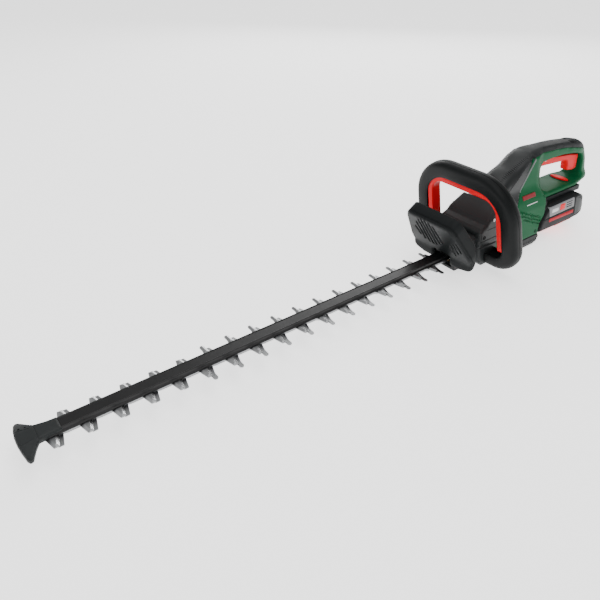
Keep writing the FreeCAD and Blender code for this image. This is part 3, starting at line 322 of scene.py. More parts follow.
def pillow(name, loops, radii, height, where, mat, body, spacing=4.0, flat=None, grooves=(), sharp=32,
           slot=None, guides=(), under=None):
    """A solid over a flat outline with its upper edge rounded.

    loops: the outline, then any holes. radii: for each loop a number or a function of the points giving
    the rounding. height: function of (a, b). where: maps (a, b, h) to (x, y, z). flat: depth of a straight
    bevel used in place of the rounding. grooves: (start, end, half width, depth), where a depth below zero
    makes a ridge. guides: more points for the mesh to pass through. under: the underside as a function of
    (a, b, upper height).
    """
    fine = [split_edges(loop, min(spacing, LONGEST_EDGE)) for loop in loops]
    starts, ends, rounding = rim_edges(fine, radii)
    extra = ring_points(starts, ends, rounding, BEVEL_RINGS if flat else ROUND_RINGS)
    extra.append(grid_points(starts, ends, rounding, spacing))
    for start, end, half, _ in grooves:
        extra.append(groove_points(start, end, half))
    if len(guides):
        extra.append(np.array(guides, float))
    extra = np.vstack(extra)
    plan, tris = plan_triangles(fine, extra[within(extra, fine)])
    gap = distances(plan, starts, ends)
    depth = np.clip(1 - gap / np.maximum(rounding[None], 1e-6), 0, 1)
    drop = flat * depth if flat else rounding[None] * (1 - np.sqrt(np.clip(1 - depth ** 2, 0, 1)))
    tall = height(plan[:, 0], plan[:, 1]) - drop.max(1)
    for start, end, half, deep in grooves:
        away = distances(plan, np.array([start], float), np.array([end], float))[:, 0]
        tall = tall - deep * np.clip((half * 1.1 - away) / (half * 0.25), 0, 1)
    base = under(plan[:, 0], plan[:, 1], tall) if under else np.zeros(len(plan))
    points = [where(a, b, h) for level in (tall, base) for (a, b), h in zip(plan, level)]
    return piece(name, points, closed_faces(tris, len(plan)), mat, body, sharp)


def both_sides(name, loops, radii, half, mat, body, **options):
    """The same pillow to the left and to the right of the middle plane."""
    return [pillow(name + "_left", loops, radii, half, lambda a, b, h: (a, h, b), mat, body, **options),
            pillow(name + "_right", loops, radii, half, lambda a, b, h: (a, -h, b), mat, body, **options)]


def block(name, low, high, mat, body, radius=1.0, turn=None):
    """A box with rounded edges, turned about its centre."""
    centre = [(a + b) / 2 for a, b in zip(low, high)]
    half = [(b - a) / 2 for a, b in zip(low, high)]
    corners = [(sx * half[0], sy * half[1], sz * half[2])
               for sx in (-1, 1) for sy in (-1, 1) for sz in (-1, 1)]
    faces = [(0, 1, 3, 2), (4, 6, 7, 5), (0, 4, 5, 1), (2, 3, 7, 6), (0, 2, 6, 4), (1, 5, 7, 3)]
    mesh = bpy.data.meshes.new(name)
    mesh.from_pydata([tuple(c * MM for c in corner) for corner in corners], [], faces)
    mesh.shade_smooth()
    mesh.materials.append(mat)
    thing = bpy.data.objects.new(name, mesh)
    bpy.context.scene.collection.objects.link(thing)
    thing.location = [c * MM for c in centre]
    if turn:
        thing.rotation_euler = turn
    round_off = thing.modifiers.new("round", "BEVEL")
    round_off.width = radius * MM
    round_off.segments = 4
    round_off.harden_normals = True
    bpy.context.view_layer.update()
    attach(thing, body)
    return thing


def disc(name, centre, radius, thick, axis, mat, body, recess=0.0):
    """A round boss or screw head with a chamfered rim and, if asked, a round socket."""
    sides = 40
    chamfer_down, chamfer_in = 0.4, 0.5
    rings = [(0.0, radius), (thick - chamfer_down, radius), (thick, radius - chamfer_in)]
    if recess:
        rings += [(thick, radius * 0.5), (thick - recess, radius * 0.46)]
    points, faces = [], []
    up = Vector(axis).normalized()
    side = up.orthogonal().normalized()
    other = up.cross(side)
    base = Vector(centre)
    for level, r in rings:
        for k in range(sides):
            a = 2 * math.pi * k / sides
            points.append(tuple(base + up * level + (side * math.cos(a) + other * math.sin(a)) * r))
    for row in range(len(rings) - 1):
        for k in range(sides):
            n = (k + 1) % sides
            faces.append((row * sides + k, row * sides + n, (row + 1) * sides + n,
                          (row + 1) * sides + k))
    faces.append(tuple(range((len(rings) - 1) * sides, len(rings) * sides)))
    faces.append(tuple(reversed(range(sides))))
    return piece(name, points, faces, mat, body)


def tube_faces(count, width, closed):
    """Faces that join count rows of width points, with the two ends closed unless the tube is a ring."""
    faces = []
    for k in range(count if closed else count - 1):
        n = (k + 1) % count
        for j in range(width):
            m = (j + 1) % width
            faces.append((k * width + j, n * width + j, n * width + m, k * width + m))
    if not closed:
        faces.append(tuple(reversed(range(width))))
        faces.append(tuple(range((count - 1) * width, count * width)))
    return faces


def sweep(name, path, normals, section, where, mat, body, closed=True, slot=None):
    """A section carried along a path.

    section(k) gives (inward, across) pairs at path point k; where maps (y, up, across) to (x, y, z).
    """
    points = []
    for k, (spot, normal) in enumerate(zip(path, normals)):
        for inward, across in section(k):
            y, up = np.array(spot) - np.array(normal) * inward
            points.append(where(y, up, across))
    return piece(name, points, tube_faces(len(path), len(section(0)), closed), mat, body)


def constant(value):
    """A height function that is the same everywhere."""
    return lambda a, b: np.full(np.shape(a), float(value))


# ---------------------------------------------------------------- blades and bar

PITCH = 38.0            # tooth to tooth along one side
TEETH = 17              # on each side of a blade
SHORT_TEETH = 5         # of them, at the tip end
FIRST_TOOTH = 510.8     # middle of the foremost tooth at mid-stroke
REST_SHIFT = 2.5        # how far from mid-stroke each blade rests
STEEL = 3.0             # thickness of a blade
UPPER_Z, LOWER_Z = 24.1, 23.9
ROOT = 9.2              # half width of a blade between its teeth
FINGER_ROUND = 3.3      # rounding of a finger's end, about a centre this far out:
FINGER_CENTRE = 30.7
GRIND_WIDTH, GRIND_DEPTH = 3.1, 1.9
YOKE_FRONT, YOKE_REAR, YOKE_HALF = -150, -174.5, 17.3


def tooth(middle, long):
    """One tooth in plan, from its front root to its rear root, for y above zero."""
    if long:
        flank = [(7.5, ROOT), (4.0, 20.5), (FINGER_ROUND, 25.0)]
        crown = [(FINGER_ROUND * math.cos(a), FINGER_CENTRE + FINGER_ROUND * math.sin(a))
                 for a in np.linspace(0, math.pi, 9)]
    else:
        flank = [(7.5, ROOT), (3.2, 25.9), (2.6, 26.5)]
        crown = []
    return [(middle + x, y) for x, y in flank + crown + mirrored(flank)]


def blade(name, shift, finger_side, where, body):
    """One blade with long fingers on finger_side; the right side's teeth sit half a pitch back.

    Only the teeth's rear flanks take the bright ground steel. It is real grind, but keeping it to the flanks
    that face back paints a highlight there.
    """
    outline, ridges = [], []
    for side in (1, -1):
        row = []
        for n in range(TEETH):
            middle = FIRST_TOOTH + shift - (0 if side > 0 else PITCH / 2) - PITCH * n
            row += tooth(middle, n >= SHORT_TEETH and side == finger_side)
            ridges += [(middle, side * y) for y in np.arange(10, 33.5, 1.5)]
        yoke = [(YOKE_FRONT, ROOT), (YOKE_FRONT, YOKE_HALF), (YOKE_REAR + shift, YOKE_HALF)]
        line = [(x, y * side) for x, y in [(522 + shift, ROOT)] + row + yoke]
        outline += line if side > 0 else list(reversed(line))
    window = [(x + shift, y) for x, y in ((-171, -13.2), (-135, -13.2), (-135, 13.2), (-171, 13.2))]
    steel = pillow(name, [outline, window],
                   [lambda x, y: np.where(np.abs(y) > ROOT + 0.2, GRIND_WIDTH, 0.8), 0.5], constant(STEEL),
                   where, BLADE, body, spacing=7.0, flat=GRIND_DEPTH, sharp=8, slot="blade_steel",
                   guides=ridges)
    steel.data.materials.append(GROUND_STEEL_AND_HIGHLIGHT)
    # Rear-facing bevels get the bright steel, which is both the real grind and a painted highlight.
    for face in steel.data.polygons:
        bevelled = 0.3 < abs(face.normal.z) < 0.97
        if bevelled and face.normal.x < -0.25 and abs(face.center.y) > ROOT * MM:
            face.material_index = 1
    return steel


upper = blade("upper_blade_steel", REST_SHIFT, -1, lambda a, b, h: (a, b, UPPER_Z + h), "upper_blade")
lower = blade("lower_blade_steel", -REST_SHIFT, 1, lambda a, b, h: (a, b, LOWER_Z - h), "lower_blade")
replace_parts(upper, "upper_blade")
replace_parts(lower, "lower_blade")

BAR_REAR, BAR_FRONT = -144, 540
BAR_HALF = [(12, 27.4), (12, 28.5), (11.2, 29.3), (9.9, 29.7), (9.2, 32.9), (8.6, 33.4), (7.8, 33.2),
            (7.1, 32.6)]


def bar_skin():
    """The guide bar's stepped section, run from the gear case into the tip guard."""
    ring = BAR_HALF + mirrored(BAR_HALF)
    points = [(x, y, z) for x in (BAR_REAR, BAR_FRONT) for y, z in ring]
    width = len(ring)
    faces = [(j, (j + 1) % width, width + (j + 1) % width, width + j) for j in range(width)]
    faces += [tuple(reversed(range(width))), tuple(range(width, 2 * width))]
    return piece("guide_bar_skin", points, faces, BAR, "housing", sharp=20)


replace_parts(bar_skin(), "guide_bar")

# ---------------------------------------------------------------- tip guard

FAN_BASE = 17.5
WING_THICK = 3.2
CORE_DEPTH = 14.2
CORE_HALF = 12
CORE_REAR, CORE_FRONT = 528.5, 541
SLEEVE_BASE = 27.5
GUARD_LEFT = [(526.8, 13.7), (532.7, 21.3), (538.7, 31.4), (542.2, 32.6), (544.8, 28.8), (547.1, 18),
              (548.4, 8)]
GUARD_TIP = (548.6, 0)
SLEEVE_LEFT = [(501, 10.8), (513, 11.2), (529, 13.6)]


def other_side(points):
    """The points in reverse order, on the other side of the middle plane."""
    return [(x, -y) for x, y in reversed(points)]


def fan_top(x, y):
    """The wings fall away from the middle."""
    return FAN_BASE - 6.0 * np.clip((np.abs(y) - 6) / 26, 0, 1) ** 1.5


def fan_under(x, y, tall):
    """Thin wings on a deep core that takes the end of the bar."""
    core = (np.clip((CORE_HALF - np.abs(y)) / 2, 0, 1) * np.clip((CORE_FRONT - x) / 2, 0, 1)
            * np.clip((x - CORE_REAR) / 2, 0, 1))
    return tall - WING_THICK - CORE_DEPTH * core


def sleeve_top(x, y):
    """The sleeve rises a little towards the fan."""
    return 6.6 + 0.9 * np.clip((x - 508) / 20, 0, 1)


guard = GUARD_LEFT + [GUARD_TIP] + other_side(GUARD_LEFT)
sleeve = SLEEVE_LEFT + other_side(SLEEVE_LEFT)
fan = pillow("tip_guard_fan", [soften(guard, 2.2)], [1.8], fan_top, lambda a, b, h: (a, b, FAN_BASE + h),
             GREY, "housing", spacing=2.5, slot="black_plastic", under=fan_under,
             grooves=[((532, -9), (545, -12), 0.6, 0.4), ((532, 10), (545, 12), 0.6, 0.4)])
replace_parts(fan, "tip_guard")
pillow("tip_guard_sleeve", [soften(sleeve, 1.5)], [3.4], sleeve_top, lambda a, b, h: (a, b, SLEEVE_BASE + h),
       GREY, "housing", spacing=2.0, slot="black_plastic")
# Two flat dark discs on the fan, painted shade where its dimples are.
for x, y in ((534.7, -13.6), (541.4, -14.9)):
    disc("tip_guard_dimple_shade_%d" % int(x), (x, y, 33.9), 1.3, 0.3, (0, 0, 1), RECESS_SHADE_AND_PRINT, "housing")

# ---------------------------------------------------------------- shield

LEAN = math.radians(31)
FOOT_X, FOOT_Z = -137.5, 26.0
BEND = 12.0             # below this height the shield stands upright
SHIELD_THICK = 3.2      # where its front lies, out from its back
SHIELD_SKIN = 2.2       # its wall


def on_shield(y, s, h):
    """Places a point that is y across, s up the shield and h out towards the tip."""
    leaning = max(s, BEND)
    x = FOOT_X + leaning * math.sin(LEAN) + (h - SHIELD_THICK) * math.cos(LEAN)
    z = FOOT_Z + leaning * math.cos(LEAN) + (s - leaning) - (h - SHIELD_THICK) * math.sin(LEAN)
    return (x, y, z)


SHIELD_LEFT = [(17, 12, 4), (17, -5, 3), (38, -5, 10), (63, 0, 12), (64, 28, 30), (52, 82, 22),
               (45.5, 96, 17)]


def slot_hole(top, bottom, half=1.6):
    """Outline of a slot of that half width, with a round end at top and at bottom."""
    top, bottom = np.array(top, float), np.array(bottom, float)
    along = (bottom - top) / np.linalg.norm(bottom - top)
    across = np.array([-along[1], along[0]])
    out = []
    for centre, start in ((top, math.pi), (bottom, 0)):
        for a in np.linspace(start, start + math.pi, 7):
            out.append(tuple(centre + across * half * math.cos(a) + along * half * math.sin(a)))
    return out


slot_ends = ((62, 42), (76, 35), (86, 31), (91, 30), (91, 33), (89, 39), (84, 47))
holes = [slot_hole((-38 + 7.5 * n, top), (-34.5 + 8.1 * n, foot)) for n, (top, foot) in enumerate(slot_ends)]
holes += [slot_hole((33 + 7.5 * n, 52 + 6 * n), (35.5 + 8 * n, 27 + 8 * n)) for n in range(3)]
shield_loop = soften(SHIELD_LEFT + mirrored(SHIELD_LEFT), 4)
front = pillow("shield_face", [shield_loop] + holes, [5.0] + [0.6] * len(holes), constant(SHIELD_THICK),
               on_shield, BLACK, "housing", spacing=4.0, slot="black_plastic",
               under=lambda y, s, h: h - SHIELD_SKIN)
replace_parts(front, "hand_shield")
SCREW_OUT, SCREW_UP = 30, 32.7
for side, label in ((1, "left"), (-1, "right")):
    head = disc("shield_screw_" + label, on_shield(side * SCREW_OUT, SCREW_UP, 2.9), 2.4, 0.6,
                (math.cos(LEAN), 0, -math.sin(LEAN)), BLACK, "housing", recess=0.4)
    if side > 0:
        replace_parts(head, "shield_screws")


def shield_rim():
    """Rolled rim that runs back from the shield's sides and top, deeper the higher it is."""
    least_depth, more_depth, full_height, wall = 5, 16.5, 48, 3
    edge = [p for p in split_edges(shield_loop, 3.0) if p[1] > 9 and (abs(p[0]) > 30 or p[1] > 60)]
    edge.sort(key=lambda p: math.atan2(p[1] - 5, p[0]))
    rows = []
    for k, p in enumerate(edge):
        before = np.array(edge[max(k - 1, 0)])
        after = np.array(edge[min(k + 1, len(edge) - 1)])
        along = (after - before) / max(np.linalg.norm(after - before), 1e-6)
        inward = np.array([-along[1], along[0]])
        back = -least_depth - more_depth * ease(p[1] / full_height)
        profile = [(0, -1.8), (0, back + 1.2), (0.6, back + 0.3), (1.6, back), (2.6, back + 0.5),
                   (wall, back + 2), (wall, 0.2), (1.2, 0.2)]
        rows.append([on_shield(*(np.array(p) + inward * i), h) for i, h in profile])
    width = len(rows[0])
    points = [q for row in rows for q in row]
    return piece("shield_rim", points, tube_faces(len(rows), width, False), BLACK, "housing")


shield_rim()

# ---------------------------------------------------------------- gear housing

SPLIT_X = -217.4        # where the green body meets the gear housing
NECK_X = -172           # where the neck meets it
HOUSING = [(SPLIT_X, 47.5, 0.5), (-170.5, 47.5, 2), (-169.5, 77, 5), (-176, 82, 5), (-186, 86, 3),
           (-191, 92, 4), (SPLIT_X, 112.5, 0.5)]
NECK = [(NECK_X, 47.5, 0.5), (-129.4, 47.5, 1), (-129.2, 57, 4), (-138, 68.5, 6), (NECK_X, 70, 0.5)]
SKIRT = [(SPLIT_X, 49, 0.5), (SPLIT_X, 21, 3), (-211, 13.5, 5), (-182, 13.5, 4), (-176, 20, 4),
         (-171.5, 49, 0.5)]
NECK_HALF = 38
SKIRT_HALF, SKIRT_INNER = 44.5, 34.0


def seam_at(x_seam, edge, other):
    """Small rounding along the seam at x_seam, a larger one elsewhere."""
    return lambda x, y: np.where(np.abs(x - x_seam) < 0.3, edge, other)


def housing_half(x, z):
    """Half width of the gear housing, which draws in towards its top."""
    return np.interp(z, [47, 78, 92, 112], [44.5, 44, 43, 36])


cover = both_sides("gear_housing", [soften(HOUSING, 3)], [seam_at(SPLIT_X, 0.8, 5.0)], housing_half, GREY,
                   "housing", spacing=3.5, slot="dark_grey_plastic",
                   grooves=[((-215, 78), (-190, 78), 0.7, 0.8), ((-215, 60), (-173, 60), 0.7, 0.8)])
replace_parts(cover[0], "housing_cover")
both_sides("gear_neck", [soften(NECK, 3)], [seam_at(NECK_X, 0.5, 6.0)], constant(NECK_HALF), GREY,
           "housing", slot="dark_grey_plastic")
both_sides("housing_skirt", [soften(SKIRT, 3)], [2.5], constant(SKIRT_HALF), GREY, "housing",
           slot="dark_grey_plastic", under=lambda x, z, tall: np.full(len(x), SKIRT_INNER))
# The housing screw heads are near black, painted shade of their bores. The bosses are bare steel.
for side, label in ((1, "left"), (-1, "right")):
    disc("housing_screw_" + label, (-182, side * 43.8, 66), 3.4, 0.9, (0, side, 0), RECESS_SHADE_AND_PRINT, "housing",
         recess=0.6)
    disc("housing_boss_" + label, (-204, side * 43.3, 92), 3.0, 0.8, (0, side, 0), SCREW, "housing",
         recess=0.5)

# ---------------------------------------------------------------- hoop and bail

HOOP_LEAN = math.radians(11.1)
HOOP_X, HOOP_Z = -202.4, 16.0
HOOP_HALF, HOOP_HEIGHT = 107.8, 166.3
FOOT_ROUND, TOP_ROUND = 47, 74
TAPER = 0.05 / 108      # share of its width that the hoop loses per millimetre of height


def on_hoop(y, up, across):
    """Places a point of the leaning hoop, which narrows as it rises; across is towards the tip."""
    y = y * (1 - TAPER * up)
    x = HOOP_X + across * math.cos(HOOP_LEAN) + up * math.sin(HOOP_LEAN)
    z = HOOP_Z + up * math.cos(HOOP_LEAN) - across * math.sin(HOOP_LEAN)
    return (x, y, z)


def round_rect(half, high, r_low, r_high, steps=14, straight=10):
    """Path and outward normals of a rounded rectangle, anticlockwise from the lower right corner."""
    longest_step = 12
    corners = [((half - r_low, r_low), r_low, -90), ((half - r_high, high - r_high), r_high, 0),
               ((r_high - half, high - r_high), r_high, 90), ((r_low - half, r_low), r_low, 180)]
    arcs = []
    for (y, z), radius, start in corners:
        for k in range(steps + 1):
            a = math.radians(start + 90 * k / steps)
            normal = (math.cos(a), math.sin(a))
            arcs.append(((y + radius * normal[0], z + radius * normal[1]), normal))
    path, normals = [], []
    for (here, normal), (after, _) in zip(arcs, arcs[1:] + arcs[:1]):
        parts = straight if math.dist(here, after) > longest_step else 1
        for j in range(parts):
            t = j / parts
            path.append(tuple((1 - t) * np.array(here) + t * np.array(after)))
            normals.append(normal)
    return path, normals


hoop_path, hoop_normals = round_rect(HOOP_HALF, HOOP_HEIGHT, FOOT_ROUND, TOP_ROUND)


def hoop_section(side):
    """Half of the band's section, split along the seam, with a channel for the bail in its inner face."""
    seam, channel, channel_deep = 0.1, 11.7, 7

    def at(k):
        width = 27.0 - 3.0 * max(-hoop_normals[k][1], 0)
        outer = flow([(0.0, 0.6), (0.5, 5.5), (3.0, 10.6), (8.0, 13.6), (width - 8, 14.0),
                      (width - 2.5, 13.2), (width - 0.4, 12.4)], steps=4)
        ring = [(0.6, seam)] + outer + [(width - 0.4, channel), (width - channel_deep, channel),
                                        (width - channel_deep, seam)]
        return ring if side > 0 else [(inward, -across) for inward, across in reversed(ring)]
    return at


for side, name in ((1, "front"), (-1, "rear")):
    half_hoop = sweep("hoop_" + name, hoop_path, hoop_normals, hoop_section(side), on_hoop, HOOP, "housing",
                      slot="dark_grey_plastic")
    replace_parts(half_hoop, "hoop_%s_shell" % name)


BAIL_HALF, BAIL_FOOT, BAIL_TOP, BAIL_ROUND = 80.4, 40, 138.4, 35.0
BAIL_SECTION = soften([(0, -11), (0, 11), (10.6, 10.5), (10.6, -10.5)], 2.4)


def bail_path():
    """Path and outward normals of the bail: up the left side, over the top and down the right side."""
    path = [(BAIL_HALF, z) for z in np.linspace(BAIL_FOOT, BAIL_TOP - BAIL_ROUND, 12)]
    normals = [(1, 0)] * len(path)
    for a in np.radians(np.linspace(0, 90, 16)[1:]):
        path.append((BAIL_HALF - BAIL_ROUND + BAIL_ROUND * math.cos(a),
                     BAIL_TOP - BAIL_ROUND + BAIL_ROUND * math.sin(a)))
        normals.append((math.cos(a), math.sin(a)))
    return path + mirrored(path), normals + mirrored(normals)


bail = sweep("switch_bail", *bail_path(), lambda k: BAIL_SECTION, on_hoop, RED, "bail", closed=False,
             slot="red_plastic")
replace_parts(bail, "bail")

# ---------------------------------------------------------------- body

REAR_BEND = [(-462, 166), (-482, 164.6), (-494, 161.5), (-505, 155), (-512, 149), (-519, 139), (-525, 128),
             (-529, 118), (-531, 108), (-533, 98), (-535, 89.5)]
REAR_FOOT = [(-533, 83.5), (-524, 81.2), (-500, 80.3)]
REAR_X, REAR_Z = zip(*reversed(REAR_BEND))
GRIP_HALF = 17.2        # half thickness of the handle's upper bar


def body_half(x, z):
    """Half thickness of the body and handle at a point of the side view."""
    motor = np.interp(z, [18, 78, 96, 110, 118, 166, 176], [41.5, 42, 38, 31.5, 28.5, 25, 20])
    deck = 28.5 - 6 * np.clip((-x - 470) / 30, 0, 1)
    handle = GRIP_HALF + (deck - GRIP_HALF) * ease((98 - z) / 12)
    begin = np.interp(z, [88, 112], [354, 336])
    reach = np.interp(z, [88, 112], [16, 29])
    t = ease((-x - begin) / reach)
    depth = np.interp(z, [134, 152, 163], [42, 28, 14])
    back = np.clip((np.interp(z, REAR_Z, REAR_X) + depth - x) / depth, 0, 1)
    return (motor * (1 - t) + handle * t) * np.sqrt(1 - 0.93 * back ** 2)


SEAM_Z = 128            # where the soft grip ends at the rear
REAR_SEAM_X = -524
COVER_END = (-326, 165.5)
front_seam = [(SPLIT_X, 62), (-262, 78), (-281, 104), (-300, 133), (-318, 158)]
SEAM = [front_seam[-1], (-328, 167), (-355, 167.5), (-392, 165), (-432, 161), (-472, 153), (-503, 144.5),
        (-525, SEAM_Z)]
grip_seam = flow(SEAM, steps=5)
rear_line = flow(REAR_BEND + REAR_FOOT, steps=4)
rear_below = [p for p in rear_line if p[1] < SEAM_Z - 0.5]
rear_above = [p for p in rear_line[1:] if p[1] > SEAM_Z + 1]


def seam_height(x):
    """Height of the seam between the green shells and the soft grip."""
    return np.interp(x, *zip(*reversed(SEAM)))


GREEN_LOOP = flat_loop([(SPLIT_X, 22)] + front_seam[:-1] + grip_seam + rear_below
                       + [(-480, 79.6), (-378, 79.4), (-368.5, 72), (-356, 56), (-348.5, 46), (-344, 33),
                          (-344.5, 22)])
HAND = soften([(-384, 88.6, 6), (-375, 93, 8), (-366, 112, 14), (-361.5, 136, 6), (-369, 146.5, 6),
               (-398, 147.5, 20), (-432, 146.5, 20), (-472, 141, 20), (-498, 133.5, 7), (-502, 124, 6),
               (-502, 96, 6), (-494, 88.5, 5)], 5)


def green_rounding(x, z):
    """Thin seams against the covers, a soft edge at the rear and below."""
    cover_seam = (z > 60) & (x > -335)
    upper_seam = (z > seam_height(x) - 3) & (x > REAR_SEAM_X)
    return np.where(cover_seam | upper_seam | (x > SPLIT_X - 0.6), 1.0, np.where(x < -500, 3.6, 3.0))


TRIGGER_ROOM = 8.4
BUTTON_ROOM = 18.8
POCKET_REAR, POCKET_FRONT, POCKET_FLOOR = -466.5, -449.5, 82


def control_room(x, z, tall):
    """Keeps the shells' inner faces clear of the trigger and of the button in the deck."""
    trigger = np.where((x > -504) & (x < -368) & (z > 126) & (z < 153), TRIGGER_ROOM, 0.0)
    pocket = (x > POCKET_REAR) & (x < POCKET_FRONT) & (z > POCKET_FLOOR) & (z < 90)
    return np.where(pocket, BUTTON_ROOM, trigger)


pocket_guides = [(x, z) for x in (POCKET_REAR - 0.1, POCKET_REAR + 0.1, -461, -458, -454,
                                  POCKET_FRONT - 0.1, POCKET_FRONT + 0.1)
                 for z in (POCKET_FLOOR - 0.1, POCKET_FLOOR + 0.1, 84, 86)]
vents = [((-276 - 8 * n, 84.7 - 10 * n), (-342 - 2.5 * n, 56 - 7.3 * n), 1.3, 1.6) for n in range(3)]
shell = both_sides("green_shell", [GREEN_LOOP, HAND], [green_rounding, 5.0], body_half, GREEN, "housing",
                   spacing=4.0, grooves=vents, slot="body_green", under=control_room, guides=pocket_guides)
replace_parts(shell[0], "left_shell")
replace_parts(shell[1], "right_shell")

TOP = (-330, 174.5)
crown = flow([(SPLIT_X, 113), (-236, 129), (-252, 142), (-268, 149.5), (-284, 155), (-310, 167.5), TOP],
             steps=4)
COVER_LOOP = flat_loop(front_seam + [COVER_END] + crown[::-1])


def cover_rounding(x, z):
    """Thin along the seams, rounder towards the front of the crown."""
    low = z < np.interp(x, [-330, -318, -281, -262, -217], [166, 161, 107, 81, 66])
    seam = (x > SPLIT_X - 0.6) | (x < -325.5) & (z < 173.2)
    return np.where(low | seam, 1.0, np.interp(x, [-325, -290], [9, 17]))


RIDGE_HALF, RIDGE_RISE = 0.9, 0.7
cap = both_sides("top_cover_skin", [COVER_LOOP], [cover_rounding], body_half, COVER, "housing", spacing=3.5,
                 slot="black_plastic", grooves=[((-256, 121), (-290, 146), RIDGE_HALF, -RIDGE_RISE),
                                                ((-290, 146), (-315, 163.5), RIDGE_HALF, -RIDGE_RISE)])
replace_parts(cap[0], "top_cover")

grip_top = flow([TOP, (-343, 176), (-356, 176), (-388, 174), (-419, 171.5), REAR_BEND[0]], steps=4)
GRIP_LOOP = flat_loop(grip_seam[::-1][:-6] + [COVER_END] + grip_top + rear_above)


def grip_rounding(x, z):
    """Sharp along the seam, soft along the top and the rear."""
    outer = np.interp(x, [-500, -470, -390, -331], [4, 7.5, 7.5, 9])
    seam = (z < seam_height(x) + 1.4) & (x > REAR_SEAM_X)
    return np.where(seam | (x > TOP[0] - 1), 0.8, outer)


over = both_sides("grip_skin", [GRIP_LOOP], [grip_rounding], body_half, RUBBER, "housing", spacing=3.0,
                  slot="soft_grip")
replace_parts(over[0], "grip_overmould")

STRIP = [(-284.5, 116), (-288.5, 113.5), (-330, 162), (-330, 166.5), (-326.5, 166)]
strips = both_sides("silver_strip", [soften(STRIP, 1.5)], [1.2], lambda x, z: body_half(x, z) + 0.7, SILVER,
                    "housing", spacing=2.0, slot="silver_trim")
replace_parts(strips[0], "accent_strips")

SKID = [(SPLIT_X, 22.3, 0.5), (-217.8, 7, 3), (-224, 0.2, 5), (-336, 0.2, 5), (-345, 6, 4), (-349, 17, 3),
        (-344, 22.3, 0.5)]


def skid_half(x, z):
    """The rail draws in towards the floor."""
    return np.interp(z, [0, 3, 9, 22], [36, 38.5, 40.4, 41.2])


base = both_sides("base_rail", [soften(SKID, 3)], [1.5], skid_half, BLACK, "housing", spacing=3.0,
                  slot="black_plastic", grooves=[((-222, 12), (-342, 12), 0.9, 1.0)])
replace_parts(base[0], "base_skid")

BADGE_TURN, BADGE_BAR_TURN = 22, 13
for side, label in ((1, "left"), (-1, "right")):
    low, high = sorted((side * 30.8, side * 35.8))
    plate = block("badge_" + label, (-327, low, 98.5), (-291, high, 106.5), PRINT, "housing", radius=0.8,
                  turn=(side * math.radians(BADGE_TURN), 0, 0))
    if side > 0:
        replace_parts(plate, "side_badges")
    low, high = sorted((side * 38.4, side * 40.0))
    block("badge_bar_" + label, (-330, low, 88.5), (-300, high, 90), WHITE, "housing", radius=0.2,
          turn=(side * math.radians(BADGE_BAR_TURN), 0, 0))
    # The shell screw heads are near black, painted shade of their bores.
    for n, (x, z) in enumerate(((-335, 30), (-280, 26))):
        disc("shell_screw_%s_%d" % (label, n), (x, side * 41.0, z), 3.2, 0.9, (0, side, 0), RECESS_SHADE_AND_PRINT, "housing",
             recess=0.5)

# ---------------------------------------------------------------- controls

TRIGGER = [(-375, 150, 1), (-372.5, 146, 3), (-376, 134, 4), (-462, 127, 5), (-466, 118, 5), (-467, 105, 3),
           (-485, 101.5, 4), (-498, 103.5, 3), (-499, 132, 2), (-470, 137.5, 4)]
TRIGGER_HALF = 7.9
lever = both_sides("trigger_lever", [soften(TRIGGER, 3)], [2.6], constant(TRIGGER_HALF), RED, "trigger",
                   spacing=2.5, slot="red_plastic")
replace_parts(lever[0], "trigger")

BUTTON_X, BUTTON_LONG, BUTTON_WIDE = -458, 7, 18
BUTTON_BASE, BEZEL_BASE = 85.5, 87.6


def oval(grow, sides):
    """The button's outline, larger all round by grow."""
    return [(BUTTON_X + (BUTTON_LONG + grow) * math.cos(a), (BUTTON_WIDE + grow) * math.sin(a))
            for a in np.linspace(0, 2 * math.pi, sides + 1)[:-1]]


press = pillow("mode_button_cap", [oval(0, 40)], [2.0], constant(6.0),
               lambda a, b, h: (a, b, BUTTON_BASE + h), RED, "mode_button", spacing=2.0, slot="red_plastic")
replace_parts(press, "mode_button")
pillow("button_bezel", [oval(2.2, 48), oval(0.5, 48)], [0.7, 0.4], constant(2.0),
       lambda a, b, h: (a, b, BEZEL_BASE + h), BLACK, "housing", spacing=2.0)

# ---------------------------------------------------------------- battery

PACK_HALF = 44
PACK_SPLIT, LID_SPLIT = 46.4, 46.9
DOCK_RAIL_HALF, DOCK_RAIL_ROOM = 28.4, 26.6


def battery_half(x, z):
    """The pack is widest in the middle and draws in at its rear end and its top."""
    return PACK_HALF - 6 * np.clip((-x - 462) / 28, 0, 1) ** 2 - 1.5 * np.clip((z - 62) / 10, 0, 1) ** 2


def battery_panel(name, loop, lift, mat, radius=0.5, slot=None):
    """A thin panel that lies on both sides of the pack."""
    return both_sides(name, [soften(loop, 2)], [radius], lambda x, z: battery_half(x, z) + lift, mat,
                      "battery", spacing=3.0, slot=slot)


DOCK = [(-340, 20, 1), (-340, 80, 1), (-479, 80, 2), (-477, 72.4, 1), (-371, 72.4, 1), (-360, 58, 3),
        (-352, 47, 3), (-346.5, 33, 3), (-346.5, 20, 1)]


def dock_half(x, z):
    """Narrow rails along the top; below them the dock's front wall follows the pack."""
    return np.where(z > 72.2, DOCK_RAIL_HALF, np.minimum(battery_half(x, z) - 1.5, 40))


def dock_room(x, z, tall):
    """Leaves the space between the rails open for the pack's own rail."""
    return np.where((x < -366) & (z < 76.5), DOCK_RAIL_ROOM, 0.0)


both_sides("dock_cheek", [soften(DOCK, 1)], [1.5], dock_half, BLACK, "housing", spacing=4.0,
           slot="black_plastic", under=dock_room)

